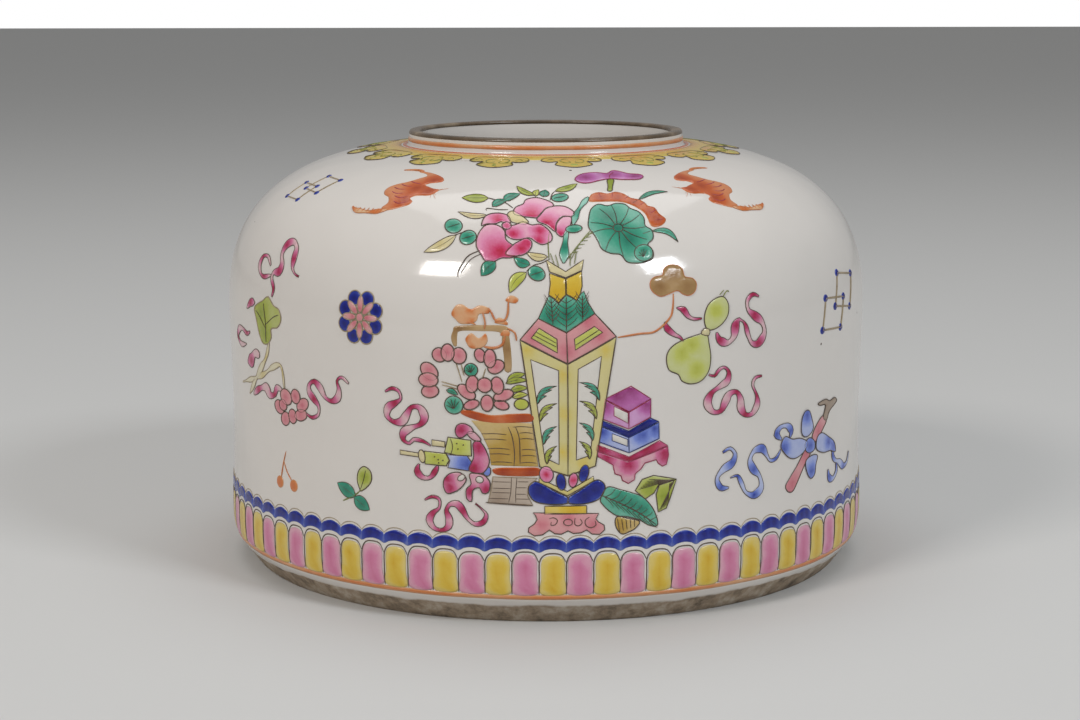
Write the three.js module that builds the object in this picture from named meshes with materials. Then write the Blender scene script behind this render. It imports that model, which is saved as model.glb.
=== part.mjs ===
// Brush washer: a beehive-shaped porcelain vessel with enamel decoration fired onto its glaze.
// Millimetres, +Z up. The origin is the centre of the foot's underside, and the main picture faces -Y.
import * as THREE from "three";
import { TessellateModifier } from "three/addons/modifiers/TessellateModifier.js";
import { mergeVertices } from "three/addons/utils/BufferGeometryUtils.js";

// Driving dimensions of the vessel
const bodyRadius = 65;
const totalHeight = 86.5;
const collarHeight = 2.8;
const shoulderHeight = 50.5;
const shoulderCentre = 20;
const shoulderExponent = 2.6;
const waistInset = 0.4;
const waistHeight = 28;
const bandHeight = 10;
const footInset = 4.3;
const footBevel = 5.2;
const footBevelInset = 0.7;
const footRingWidth = 6;
const footRecess = 3;
const neckRadius = 28.2;
const collarWall = 2.7;
const wallThickness = 4;
const floorThickness = 4.5;
const floorCorner = 8;
const glazeThickness = 0.4;
const footBareHeight = 4;
const baseGlazeClearance = 0.4;
const lipLineHeight = 1;
const lipInnerRounding = 0.5;

const neckHeight = totalHeight - collarHeight;
const mouthRadius = neckRadius - collarWall;
const waistRadius = bodyRadius - waistInset;
const footRadius = bodyRadius - footInset;
const footBevelRadius = bodyRadius - footBevelInset;

// Driving dimensions of the enamel
const enamelGap = 0.25;
const enamelThickness = 0.35;
const lineGap = 0.4;
const footLineFrom = 5.2;
const footLineTo = 6.2;
const lappetTop = 13.9;
const lappetShoulder = 12.9;
const lappetPairs = 40;
const scallopTop = 17.2;
const scallopValley = 16.2;
const scallopBottom = 14.4;
const cloudLobes = 16;
const cloudOuterLobe = 12;
const cloudOuterValley = 8.2;
const collarLineRise = 0.6;
const collarLineHeight = 0.9;
const ribbonWidth = 1.5;
const narrowRibbonWidth = 1.3;

// The figures are drawn on a grid: these columns to the body's radius, and these rows between the borders
const gridColumns = 65;
const gridRows = 77.87;
const gridFirstRow = 17.2;

// Fineness of the faceted forms
const turnSegments = 40;
const wallSteps = 6;
const shoulderSteps = 8;
const cornerSteps = 3;
const roundingSteps = 2;
const paintedWallSteps = 24;
const paintedShoulderSteps = 48;
const lappetColumns = 4;
const cloudColumns = 4;
const longestEdge = 8;
const tessellationPasses = 7;
const ribbonSteps = 2;

const clayColour = 0xe4e0da;
const glazeColour = 0xefece6;
const lipColour = 0x6e5f4b;
const pink = 0xd67f9f;
const deepPink = 0xb82f62;
const cobalt = 0x0c1070;
const yellow = 0xd9b02c;
const orangeRed = 0xc4572a;
const ironRed = 0xb5481c;
const teal = 0x2f8f6d;
const leafGreen = 0x9fb04a;
const goldBrown = 0xb08a52;
const clayRoughness = 0.6;
const glazeRoughness = 0.1;
const lipRoughness = 0.4;
const enamelRoughness = 0.25;

const washer = new THREE.Group();

function finish(colour, roughness) {
  return new THREE.MeshStandardMaterial({ color: colour, roughness, metalness: 0 });
}

function addPiece(name, geometry, colour, roughness = enamelRoughness) {
  geometry.deleteAttribute("normal");
  geometry.deleteAttribute("uv");
  const merged = mergeVertices(geometry, 1e-4);
  merged.computeVertexNormals();
  const piece = new THREE.Mesh(merged, finish(colour, roughness));
  piece.name = name;
  washer.add(piece);
}

// A ring turned about Z from a closed outline of [radius, height] points.
function turned(outline) {
  const points = outline.map(([r, z]) => new THREE.Vector2(r, z));
  if (THREE.ShapeUtils.area(points) < 0) points.reverse();
  points.push(points[0].clone());
  const ring = new THREE.LatheGeometry(points, turnSegments);
  ring.rotateX(Math.PI / 2);
  return ring;
}

// The outside of the glazed vessel, from the foot's edge to the neck.
const wallCurve = new THREE.SplineCurve([
  new THREE.Vector2(footBevelRadius, footBevel),
  new THREE.Vector2(bodyRadius, bandHeight),
  new THREE.Vector2(waistRadius, waistHeight),
  new THREE.Vector2(bodyRadius, shoulderHeight),
]);

function shoulderPoint(turn) {
  const power = 2 / shoulderExponent;
  return [
    shoulderCentre + (bodyRadius - shoulderCentre) * Math.cos(turn) ** power,
    shoulderHeight + (neckHeight - shoulderHeight) * Math.sin(turn) ** power,
  ];
}

const neckTurn = Math.acos(
  ((neckRadius - shoulderCentre) / (bodyRadius - shoulderCentre)) ** (shoulderExponent / 2));

function outerProfile(stepsUpWall, stepsOverShoulder) {
  const wall = wallCurve.getPoints(stepsUpWall).map((p) => [p.x, p.y]);
  const shoulder = [];
  for (let i = 1; i <= stepsOverShoulder; i += 1) {
    shoulder.push(shoulderPoint((neckTurn * i) / stepsOverShoulder));
  }
  return [...wall, ...shoulder];
}

// Moves a profile along its own normals; a positive distance is outward.
function offsetProfile(profile, distance) {
  return profile.map(([r, z], i) => {
    const before = profile[Math.max(i - 1, 0)];
    const after = profile[Math.min(i + 1, profile.length - 1)];
    const length = Math.hypot(after[0] - before[0], after[1] - before[1]);
    const alongR = (after[0] - before[0]) / length;
    const alongZ = (after[1] - before[1]) / length;
    return [r + alongZ * distance, z - alongR * distance];
  });
}

// Porcelain body: two thrown sections luted at the shoulder, and the lip added last
const glazeOutside = outerProfile(wallSteps, shoulderSteps);
const clayOutside = offsetProfile(glazeOutside, -glazeThickness);
const clayInside = offsetProfile(glazeOutside, -(glazeThickness + wallThickness));
const glazeInside = offsetProfile(glazeOutside, -(2 * glazeThickness + wallThickness));
const luting = wallSteps;
const floorTop = footRecess + floorThickness;
const clayWallInside = clayInside.slice(0, luting + 1).filter(([, z]) => z > floorTop + floorCorner);
const glazeWallInside = glazeInside.slice(0, luting + 1).filter(([, z]) => z > floorTop + floorCorner);

function floorCurve(wallStart, floorHeight) {
  const corner = [];
  for (let i = 0; i < cornerSteps; i += 1) {
    const turn = (Math.PI / 2) * (i / cornerSteps);
    corner.push([
      wallStart[0] - floorCorner * (1 - Math.sin(turn)),
      floorHeight + floorCorner * (1 - Math.cos(turn)),
    ]);
  }
  return corner;
}

const footInner = footRadius - footRingWidth;
addPiece("lower_body", turned([
  [footInner, 0], [footRadius, 0],
  [footBevelRadius - glazeThickness, footBareHeight],
  ...clayOutside.slice(0, luting + 1),
  ...clayInside.slice(luting, luting + 1),
  ...clayWallInside.slice(0, -1).reverse(),
  ...floorCurve(clayWallInside[0], floorTop).reverse(),
  [0, floorTop], [0, footRecess], [footInner, footRecess],
]), clayColour, clayRoughness);

addPiece("shoulder_dome", turned([
  ...clayOutside.slice(luting),
  ...clayInside.slice(luting).reverse(),
]), clayColour, clayRoughness);

const neckTop = clayOutside[clayOutside.length - 1];
const neckUnder = clayInside[clayInside.length - 1];
const collarTop = totalHeight - lipLineHeight;
addPiece("neck_collar", turned([
  neckUnder, neckTop,
  [neckTop[0], collarTop],
  [mouthRadius + glazeThickness, collarTop],
  [mouthRadius + glazeThickness, neckUnder[1]],
]), clayColour, clayRoughness);

// Glaze coats, which share their faces with the porcelain under them
addPiece("outer_glaze", turned([
  [clayOutside[0][0], clayOutside[0][1]],
  ...glazeOutside,
  [neckRadius, collarTop],
  [neckTop[0], collarTop],
  ...clayOutside.slice(1).reverse(),
]), glazeColour, glazeRoughness);

addPiece("inner_glaze", turned([
  [0, floorTop + glazeThickness], [0, floorTop],
  ...floorCurve(clayWallInside[0], floorTop),
  ...clayWallInside.slice(0, -1),
  ...clayInside.slice(luting),
  [mouthRadius + glazeThickness, neckUnder[1]],
  [mouthRadius + glazeThickness, collarTop],
  [mouthRadius, collarTop],
  [mouthRadius, glazeInside[glazeInside.length - 1][1]],
  ...glazeInside.slice(luting).reverse(),
  ...glazeWallInside.slice(0, -1).reverse(),
  ...floorCurve(glazeWallInside[0], floorTop + glazeThickness).reverse(),
]), glazeColour, glazeRoughness);

const baseGlazeRadius = footInner - baseGlazeClearance;
addPiece("base_glaze", turned([
  [0, footRecess - glazeThickness], [baseGlazeRadius, footRecess - glazeThickness],
  [baseGlazeRadius, footRecess], [0, footRecess],
]), glazeColour, glazeRoughness);

// A quarter of a circle that ends at the top of the lip.
function lipRounding(centreR, radius, fromTurn) {
  const rounding = [];
  for (let i = 0; i <= roundingSteps; i += 1) {
    const turn = fromTurn + (Math.PI / 2) * (i / roundingSteps);
    rounding.push([centreR + radius * Math.cos(turn), totalHeight - radius + radius * Math.sin(turn)]);
  }
  return rounding;
}

addPiece("lip_line", turned([
  [mouthRadius, collarTop],
  ...lipRounding(neckRadius - lipLineHeight, lipLineHeight, 0),
  ...lipRounding(mouthRadius + lipInnerRounding, lipInnerRounding, Math.PI / 2),
]), lipColour, lipRoughness);

// The painted surface, addressed by an angle from the front and the distance up the outside
const surface = outerProfile(paintedWallSteps, paintedShoulderSteps);
const surfaceHeights = [surface[0][1]];
for (let i = 1; i < surface.length; i += 1) {
  const step = Math.hypot(surface[i][0] - surface[i - 1][0], surface[i][1] - surface[i - 1][1]);
  surfaceHeights.push(surfaceHeights[i - 1] + step);
}
const surfaceTop = surfaceHeights[surfaceHeights.length - 1];

function surfaceAt(height) {
  const h = Math.min(Math.max(height, surfaceHeights[0]), surfaceTop);
  let i = 1;
  while (surfaceHeights[i] < h) i += 1;
  const span = surfaceHeights[i] - surfaceHeights[i - 1];
  const share = (h - surfaceHeights[i - 1]) / span;
  const alongR = (surface[i][0] - surface[i - 1][0]) / span;
  const alongZ = (surface[i][1] - surface[i - 1][1]) / span;
  const r = surface[i - 1][0] + share * span * alongR;
  const z = surface[i - 1][1] + share * span * alongZ + Math.min(height - surfaceHeights[0], 0);
  return { r, z, outR: alongZ, outZ: -alongR };
}

function pointOn(angle, height, lift) {
  const at = surfaceAt(height);
  const r = at.r + at.outR * lift;
  return [r * Math.sin(angle), -r * Math.cos(angle), at.z + at.outZ * lift];
}

// The painted field between the scallop border and the cloud collar, which the drawing grid fills
const columnWidth = bodyRadius / gridColumns;
const rowHeight = (surfaceTop - cloudOuterLobe - scallopTop) / gridRows;

function onField([column, row]) {
  return new THREE.Vector2(column * columnWidth, scallopTop + (row - gridFirstRow) * rowHeight);
}

// An enamel patch: an outline of [column, row] grid points, laid round the vessel about an angle in degrees.
function enamelPatch(name, angle, outline, colour) {
  const points = outline.map(onField);
  const flat = new THREE.ExtrudeGeometry(new THREE.Shape(points), { depth: 1, bevelEnabled: false });
  const patch = new TessellateModifier(longestEdge, tessellationPasses).modify(flat);
  const centre = THREE.MathUtils.degToRad(angle);
  const place = patch.getAttribute("position");
  for (let i = 0; i < place.count; i += 1) {
    const height = place.getY(i);
    const lift = enamelGap + enamelThickness * place.getZ(i);
    place.setXYZ(i, ...pointOn(centre + place.getX(i) / surfaceAt(height).r, height, lift));
  }
  addPiece(name, patch, colour);
}

// A band of enamel right round, with its edges given as heights for each of its columns.
function enamelBand(name, columns, lowEdge, highEdge, colour) {
  const corners = [];
  const faces = [];
  for (let i = 0; i < columns; i += 1) {
    const angle = (2 * Math.PI * i) / columns;
    const low = lowEdge(i);
    const high = highEdge(i);
    corners.push(...pointOn(angle, low, enamelGap), ...pointOn(angle, low, enamelGap + enamelThickness));
    corners.push(...pointOn(angle, high, enamelGap + enamelThickness), ...pointOn(angle, high, enamelGap));
    for (let side = 0; side < 4; side += 1) {
      const a = 4 * i + side;
      const b = 4 * i + ((side + 1) % 4);
      const c = 4 * ((i + 1) % columns) + side;
      const d = 4 * ((i + 1) % columns) + ((side + 1) % 4);
      faces.push(a, c, d, a, d, b);
    }
  }
  const band = new THREE.BufferGeometry();
  band.setAttribute("position", new THREE.Float32BufferAttribute(corners, 3));
  band.setIndex(faces);
  addPiece(name, band, colour);
}

// A ribbon outline: a smooth path through a few points, widened to both sides.
function ribbonOutline(path, width) {
  const curve = new THREE.SplineCurve(path.map(([x, h]) => new THREE.Vector2(x, h)));
  const steps = (path.length - 1) * ribbonSteps;
  const left = [];
  const right = [];
  for (let i = 0; i <= steps; i += 1) {
    const p = curve.getPoint(i / steps);
    const along = curve.getTangent(i / steps);
    left.push([p.x - (along.y * width) / 2, p.y + (along.x * width) / 2]);
    right.push([p.x + (along.y * width) / 2, p.y - (along.x * width) / 2]);
  }
  return [...left, ...right.reverse()];
}

// A round outline with scalloped lobes.
function lobedOutline(centreX, centreH, radius, lobes, depth, pointsPerLobe = 3) {
  const outline = [];
  const count = lobes * pointsPerLobe;
  for (let i = 0; i < count; i += 1) {
    const turn = (2 * Math.PI * i) / count;
    const r = i % pointsPerLobe === 0 ? radius - depth : radius;
    outline.push([centreX + r * Math.cos(turn), centreH + r * Math.sin(turn)]);
  }
  return outline;
}

const mirrored = (outline) => outline.map(([x, h]) => [-x, h]).reverse();

// Borders
enamelBand("foot_line", turnSegments, () => footLineFrom, () => footLineTo, orangeRed);
enamelBand("lappet_border", lappetPairs * lappetColumns, () => footLineTo + lineGap,
  (i) => (i % 2 === 0 ? lappetShoulder : lappetTop), yellow);
enamelBand("scallop_border", lappetPairs * lappetColumns, () => scallopBottom,
  (i) => (i % 2 === 0 ? scallopValley : scallopTop), cobalt);
enamelBand("cloud_collar", cloudLobes * cloudColumns,
  (i) => surfaceTop - (i % cloudColumns === 0 ? cloudOuterValley : cloudOuterLobe),
  () => surfaceTop - 2 * lineGap, yellow);

const collarLineInside = neckRadius + enamelGap;
const collarLineFrom = neckHeight + collarLineRise;
const collarLineTo = collarLineFrom + collarLineHeight;
addPiece("collar_line", turned([
  [collarLineInside, collarLineFrom], [collarLineInside + enamelThickness, collarLineFrom],
  [collarLineInside + enamelThickness, collarLineTo], [collarLineInside, collarLineTo],
]), orangeRed);

// Vase of flowers, on the front and again behind
const vaseOutline = [
  [-3.7, 68], [-3.2, 65.7], [-3.4, 62.3], [-4, 60], [-5.3, 57.4], [-8.6, 53.6], [-5.1, 30.4], [-5, 27.6],
  [0, 25.6], [3.9, 27.8], [5, 30.4], [8.8, 54], [4.8, 58.2], [3.7, 60], [2.6, 63.3], [2.6, 66], [3, 68],
  [-0.3, 65.9],
];
const vaseBaseOutline = [
  [-5.7, 23.5], [0, 23.3], [5, 23.5], [6.3, 26.3], [5.6, 27.6], [4.6, 27.1], [0, 24.9], [-5.3, 26.6],
  [-6, 27.3], [-7.2, 25.7],
];
const vaseStandOutline = [
  [-7.2, 18.3], [-5.8, 17.6], [-3.6, 18.5], [-1.8, 17.8], [0, 18.5], [2, 17.8], [3.4, 18.6], [5.6, 17.7],
  [6.7, 18.5], [5.3, 20.2], [5.7, 21.7], [3.4, 21.7], [3.4, 22.9], [-4.2, 22.9], [-4.2, 21.7],
  [-6.2, 21.7], [-5.7, 20.2],
];
const peonyOutline = [
  [-16.3, 70.5], [-15.8, 68.9], [-13.6, 67.3], [-9.5, 67.3], [-6.4, 68.6], [-5, 70.2], [-2.1, 71.6],
  [1.2, 73.3], [1.8, 76.5], [1.2, 79.9], [-1.7, 80.4], [-4.4, 82.5], [-7.7, 82], [-9.4, 79.7],
  [-11.6, 78.2], [-14.4, 77.4], [-13.9, 75.3], [-15.8, 73.4],
];
const lingzhiOutline = [
  [2.5, 88.3], [6, 88.2], [8.5, 87], [8.7, 84.5], [9.6, 84.5], [9.9, 87], [11.3, 87.9], [14.6, 88.1],
  [15.8, 89.9], [12.8, 91.3], [10.7, 92.4], [8.4, 91], [6.4, 91.7], [3.6, 91],
];
const bloomCentre = [10, 74.2];
const leafRadius = 6.3;
const leafNotch = 1;
const leafLobes = 8;
const bloomInner = 6.9;
const bloomOuter = 9.5;
const bloomNotch = 0.7;
const bloomFrom = 8;
const bloomSweep = 115;
const bloomSteps = 8;
const bloomOutline = [];

function bloomPoint(step, r) {
  const turn = THREE.MathUtils.degToRad(bloomFrom + (bloomSweep * step) / bloomSteps);
  return [bloomCentre[0] + r * Math.cos(turn), bloomCentre[1] + r * Math.sin(turn)];
}

for (let i = 0; i <= bloomSteps; i += 1) {
  bloomOutline.push(bloomPoint(i, i % 2 === 0 ? bloomOuter - bloomNotch : bloomOuter));
}
for (let i = bloomSteps; i >= 0; i -= 2) bloomOutline.push(bloomPoint(i, bloomInner));
const leafOutline = lobedOutline(bloomCentre[0], bloomCentre[1], leafRadius, leafLobes, leafNotch);

const front = 3.5;
const halfTurn = 180;
const back = front + halfTurn;
for (const [suffix, angle] of [["", front], ["_back", back]]) {
  enamelPatch(`vase${suffix}`, angle, vaseOutline, yellow);
  enamelPatch(`vase_base${suffix}`, angle, vaseBaseOutline, cobalt);
  enamelPatch(`vase_stand${suffix}`, angle, vaseStandOutline, pink);
  enamelPatch(`peony${suffix}`, angle, peonyOutline, pink);
  enamelPatch(`lotus_leaf${suffix}`, angle, leafOutline, teal);
  enamelPatch(`red_bloom${suffix}`, angle, bloomOutline, ironRed);
  enamelPatch(`lingzhi${suffix}`, angle, lingzhiOutline, deepPink);
}

// Group to the right of the vase
const rightGroup = 20;
const ruyiOutline = [
  [-9, 53.6], [-5.8, 53.9], [-2.6, 54], [0.3, 56.2], [1.2, 58.2], [1.6, 60.9], [3, 61], [4.8, 60.6],
  [6, 62.4], [5.5, 63.6], [3.7, 64.2], [3, 66], [1.4, 66.6], [0, 66], [-0.6, 64.7], [-2.7, 64.2],
  [-3.25, 62.9], [-1.6, 60.8], [0.5, 61], [0.3, 58.6], [-0.5, 56.9], [-2.9, 55], [-5.7, 54.9], [-9, 54.5],
];
const gourdOutline = [
  [3, 52.6], [0.9, 51.9], [-0.5, 49.4], [0.1, 47.2], [1.9, 46.3], [2.6, 45.1], [4.4, 44.4], [6.6, 44.9],
  [8.2, 46.9], [8.4, 49.5], [8, 52.2], [8.7, 54.2], [10.5, 54.9], [12.1, 56.5], [12.5, 58.3], [11.6, 60],
  [9.8, 59.8], [8, 58.6], [7.1, 56.5], [6.9, 54.7], [5.5, 53.4],
];
const upperBoxOutline = [
  [-11.5, 38.6], [-7.5, 36.8], [-3.4, 38.9], [-3.4, 42.4], [-7.2, 44.8], [-11.1, 43],
];
const lowerBoxOutline = [
  [-12.3, 34.4], [-7.4, 32.4], [-1.7, 34.8], [-1.8, 38], [-7.5, 36.2], [-11.7, 38],
];
const boxStandOutline = [
  [-12.6, 31.4], [-10.4, 30.3], [-9.7, 28.5], [-7.5, 26.9], [-6.3, 28.3], [-4.9, 30.1], [-2, 30.6],
  [-0.7, 29.5], [0.3, 32], [0, 33.4], [-1.6, 34.3], [-7.4, 31.8], [-12.4, 33.8],
];
const plantainOutline = [
  [-11.3, 23.1], [-10.2, 21.1], [-7, 20.2], [-2, 18.5], [-2.5, 21.5], [-4.9, 24.3], [-8.4, 26], [-11.2, 26.2],
];
const foldedLeafOutline = [
  [-6.3, 25.6], [-4.4, 24.9], [-1.9, 22.2], [-1.6, 20.8], [-0.2, 21.3], [1.9, 26.9], [-2.7, 28], [-4.9, 27.6],
];
const upperRibbonPath = [
  [9.7, 53], [10.3, 51.8], [12.1, 51.3], [13.4, 52.6], [13.7, 54.7], [14.6, 56], [15.7, 55.3],
  [16.6, 53], [17.6, 50.8], [19.2, 50.4], [20.9, 51.9], [20.4, 53.8], [17.8, 56.6], [16.8, 58.4], [19, 59.6],
];
const lowerRibbonPath = [
  [9.2, 46.2], [10.5, 47], [12, 46.8], [12.6, 45.3], [11.2, 43.8], [8.7, 42.6], [7.8, 40.4], [9.4, 38.6],
  [11.4, 39.2], [12.1, 41], [13.7, 42], [15.1, 40.9], [15.5, 38.6], [17.3, 37.2], [19.2, 38.6],
  [18.8, 41], [18.2, 43.6], [20.5, 44.5],
];
enamelPatch("ruyi_sceptre", rightGroup, ruyiOutline, goldBrown);
enamelPatch("gourd", rightGroup, gourdOutline, leafGreen);
enamelPatch("upper_book_box", rightGroup, upperBoxOutline, pink);
enamelPatch("lower_book_box", rightGroup, lowerBoxOutline, cobalt);
enamelPatch("box_stand", rightGroup, boxStandOutline, deepPink);
enamelPatch("plantain_leaf", rightGroup, plantainOutline, teal);
enamelPatch("folded_leaf", rightGroup, foldedLeafOutline, leafGreen);
enamelPatch("gourd_ribbon_upper", rightGroup, ribbonOutline(upperRibbonPath, ribbonWidth), deepPink);
enamelPatch("gourd_ribbon_lower", rightGroup, ribbonOutline(lowerRibbonPath, ribbonWidth), deepPink);
enamelPatch("gourd_back", back + rightGroup - front, gourdOutline, leafGreen);
enamelPatch("box_stand_back", back + rightGroup - front, boxStandOutline, deepPink);
enamelPatch("upper_book_box_back", back + rightGroup - front, upperBoxOutline, pink);
enamelPatch("lower_book_box_back", back + rightGroup - front, lowerBoxOutline, cobalt);

// Group to the left of the vase
const leftGroup = -14;
const tableOutline = [
  [-0.8, 52.2], [0.1, 52.2], [0.4, 54.7], [7.2, 54.6], [8.4, 51.3], [8.9, 47.7], [9.9, 47.9], [9.7, 51.5],
  [8.2, 55.8], [-0.8, 55.8],
];
const lotusOutline = [
  [-0.6, 42.8], [1.2, 41.6], [3, 40.8], [6.5, 40.8], [8.6, 41.5], [10, 42.9], [9.2, 44.3], [8.8, 45.9],
  [7.2, 45.6], [4.8, 46.6], [2.3, 45.6], [0.9, 46.1], [0.3, 44.3],
];
const sideLotusOutline = [
  [-7.9, 45.3], [-6.9, 43.2], [-5.1, 42.4], [-3.3, 43.1], [-2.6, 45], [-3.4, 47.4], [-5.8, 49.2], [-7.1, 47.6],
];
const bookStackOutline = [
  [6.6, 23.2], [12.6, 23.1], [13, 23.9], [12, 25.7], [12.6, 27.8], [14, 28.2], [14, 30.6], [12.6, 40.2],
  [1.2, 40.3], [0.4, 38.3], [3.2, 38], [3.2, 35.4], [6.4, 35.1], [6.4, 28.6],
];
const scrollOutline = [
  [-11.7, 31.3], [-7.2, 31.2], [-6.6, 29.9], [-2, 29.3], [-1.4, 28.7], [-2.3, 26.5], [-1.4, 24.8],
  [0, 25.6], [0.8, 27.2], [2.2, 25.2], [4.6, 24.7], [5.8, 26.2], [5, 28.9], [5.8, 29.2], [5.8, 34.6],
  [2.1, 34.9], [2.4, 37.4], [0.8, 37.9], [-0.9, 36.6], [-0.4, 35.3], [-5.3, 34.6], [-5.3, 33.6],
  [-3, 33.4], [-3, 32.7], [-7.2, 32.3], [-11.7, 32.1],
];
const scrollRibbonPath = [
  [-14.5, 42.8], [-12.8, 43.6], [-11.3, 42.3], [-12, 40.8], [-13.8, 39.6], [-13.8, 38], [-12.3, 37.2],
  [-10.8, 38.2], [-9.7, 40], [-8, 40.6], [-6.5, 39], [-7.2, 37.2], [-9.4, 36], [-10.6, 34.8], [-9.2, 33.7],
  [-7, 34.2],
];
const rosetteColumn = -20;
const rosetteRow = 56.2;
const rosetteRadius = 5.2;
const rosetteLobes = 8;
const rosetteNotch = 0.8;
const rosetteOutline = lobedOutline(rosetteColumn, rosetteRow, rosetteRadius, rosetteLobes, rosetteNotch);
enamelPatch("altar_table", leftGroup, tableOutline, goldBrown);
enamelPatch("lotus_bloom", leftGroup, lotusOutline, pink);
enamelPatch("side_lotus", leftGroup, sideLotusOutline, pink);
enamelPatch("book_stack", leftGroup, bookStackOutline, goldBrown);
enamelPatch("scroll_bundle", leftGroup, scrollOutline, deepPink);
enamelPatch("scroll_ribbon", leftGroup, ribbonOutline(scrollRibbonPath, narrowRibbonWidth), deepPink);
enamelPatch("rosette", leftGroup, rosetteOutline, cobalt);
enamelPatch("book_stack_back", back + leftGroup - front, bookStackOutline, goldBrown);
enamelPatch("scroll_bundle_back", back + leftGroup - front, scrollOutline, deepPink);

// Bats on the shoulder, facing the flowers in front and behind
const batOutline = [
  [-2.5, 91.2], [0, 90.2], [3.5, 90.1], [4.6, 89.2], [3.4, 87.6], [0.5, 85.5], [-1.2, 83.8], [-0.7, 82.2],
  [1.5, 81], [2, 79], [1, 77.7], [-2, 77.6], [-4.6, 78.2], [-5.4, 77.4], [-4.5, 76.5], [-1, 76.2],
  [3, 77], [6.6, 78.8], [7.3, 80], [6, 81.2], [7, 82], [9.3, 82.2], [10.6, 83.2], [10.3, 84.3],
  [8, 85.2], [6.6, 85.8], [7.5, 86.6], [9.3, 87.2], [8.5, 88.7], [5.5, 90.5], [2, 91.4],
];
const leftBat = -35;
const rightBat = 42;
for (const [suffix, turn] of [["", 0], ["_back", halfTurn]]) {
  enamelPatch(`bat_left${suffix}`, leftBat + turn, batOutline, ironRed);
  enamelPatch(`bat_right${suffix}`, rightBat + turn, mirrored(batOutline), ironRed);
}

// Emblems between the front and back groups
const fluteOutline = [
  [-5.4, 22.4], [-4.2, 21.2], [5.9, 32.7], [7.6, 34.7], [8.9, 36.3], [8, 37], [6.6, 35.6], [4.8, 33.8],
];
const fluteRibbonPath = [
  [11.2, 30.2], [13.2, 31.1], [14.2, 29.7], [13, 28.3], [10.9, 27], [10, 25.3], [11.2, 23.7], [12.8, 24.2],
  [13.9, 25.6], [15.3, 26], [16.4, 24.3], [17.5, 22.4], [19.6, 21.7], [20.8, 23.3], [19, 26.8], [17.9, 29.4],
  [19.4, 30.8], [21.4, 30.1],
];
const fluteAngle = 50;
enamelPatch("flute", fluteAngle, fluteOutline, pink);
enamelPatch("flute_ribbon", rightGroup, ribbonOutline(fluteRibbonPath, narrowRibbonWidth), cobalt);
enamelPatch("flute_back", fluteAngle + halfTurn, fluteOutline, pink);

const emblemAngle = -52;
const emblemLeaf = { column: -3.8, row: 53, radius: 6.4, lobes: 8, notch: 0.9 };
const emblemLotus = { column: 4.7, row: 36.8, radius: 4, lobes: 6, notch: 0.8 };
for (const [name, shape, colour] of [["emblem_leaf", emblemLeaf, teal], ["emblem_lotus", emblemLotus, pink]]) {
  const outline = lobedOutline(shape.column, shape.row, shape.radius, shape.lobes, shape.notch);
  enamelPatch(name, emblemAngle, outline, colour);
}

export default washer;
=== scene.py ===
"""Brush washer: a beehive-shaped porcelain water pot with raised enamel painting on its glaze."""

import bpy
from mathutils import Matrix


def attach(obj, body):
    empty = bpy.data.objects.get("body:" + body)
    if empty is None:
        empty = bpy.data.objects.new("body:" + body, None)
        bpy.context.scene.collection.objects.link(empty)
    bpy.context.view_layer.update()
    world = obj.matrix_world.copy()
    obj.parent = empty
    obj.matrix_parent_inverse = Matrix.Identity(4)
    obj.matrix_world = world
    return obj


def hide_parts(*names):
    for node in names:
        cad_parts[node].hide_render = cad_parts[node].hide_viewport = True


bl_info = {
    "name": "Beehive Brush Washer",
    "version": (1, 0, 0),
    "blender": (4, 5, 0),
    "location": "View3D > Sidebar > Washer",
    "description": "Builds an enamelled porcelain brush washer around its packed frame",
    "category": "Object",
}

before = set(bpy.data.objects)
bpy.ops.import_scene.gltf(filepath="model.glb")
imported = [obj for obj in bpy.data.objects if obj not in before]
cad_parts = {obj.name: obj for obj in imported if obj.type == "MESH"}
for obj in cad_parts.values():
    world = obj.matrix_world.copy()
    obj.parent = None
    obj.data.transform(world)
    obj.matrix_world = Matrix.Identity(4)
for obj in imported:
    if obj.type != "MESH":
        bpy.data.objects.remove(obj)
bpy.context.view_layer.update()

import math
import random

import bmesh
import bpy
from mathutils import Matrix, Vector

MM = 0.001
ROOT = "root"
FRONT = 3.5
BEHIND = 180.0


class WasherSizes(bpy.types.PropertyGroup):
    """Sizes of the turned vessel and of its enamel"""
    body_radius: bpy.props.FloatProperty(
        name="Body radius", description="Widest radius of the glazed body", default=0.065, unit="LENGTH")
    total_height: bpy.props.FloatProperty(
        name="Height", description="From the foot to the lip", default=0.0865, unit="LENGTH")
    neck_height: bpy.props.FloatProperty(
        name="Neck height", description="Where the collar leaves the shoulder", default=0.0837, unit="LENGTH")
    neck_radius: bpy.props.FloatProperty(
        name="Neck radius", description="Outside of the collar", default=0.0282, unit="LENGTH")
    mouth_radius: bpy.props.FloatProperty(
        name="Mouth radius", description="Inside of the collar", default=0.0255, unit="LENGTH")
    shoulder_height: bpy.props.FloatProperty(
        name="Shoulder height", description="Where the wall starts to turn in", default=0.0505, unit="LENGTH")
    foot_radius: bpy.props.FloatProperty(
        name="Foot radius", description="Outside of the foot ring", default=0.0607, unit="LENGTH")
    wall: bpy.props.FloatProperty(
        name="Wall", description="Thickness of the wall with its glaze", default=0.0048, unit="LENGTH")
    enamel: bpy.props.FloatProperty(
        name="Enamel", description="How far the enamel stands off the glaze", default=0.00013, unit="LENGTH")
    lappet_pairs: bpy.props.IntProperty(
        name="Lappet pairs", description="Pairs of pink and yellow lappets round the foot", default=41)
    cloud_lobes: bpy.props.IntProperty(
        name="Cloud lobes", description="Lobes of the yellow collar round the neck", default=16)


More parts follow.
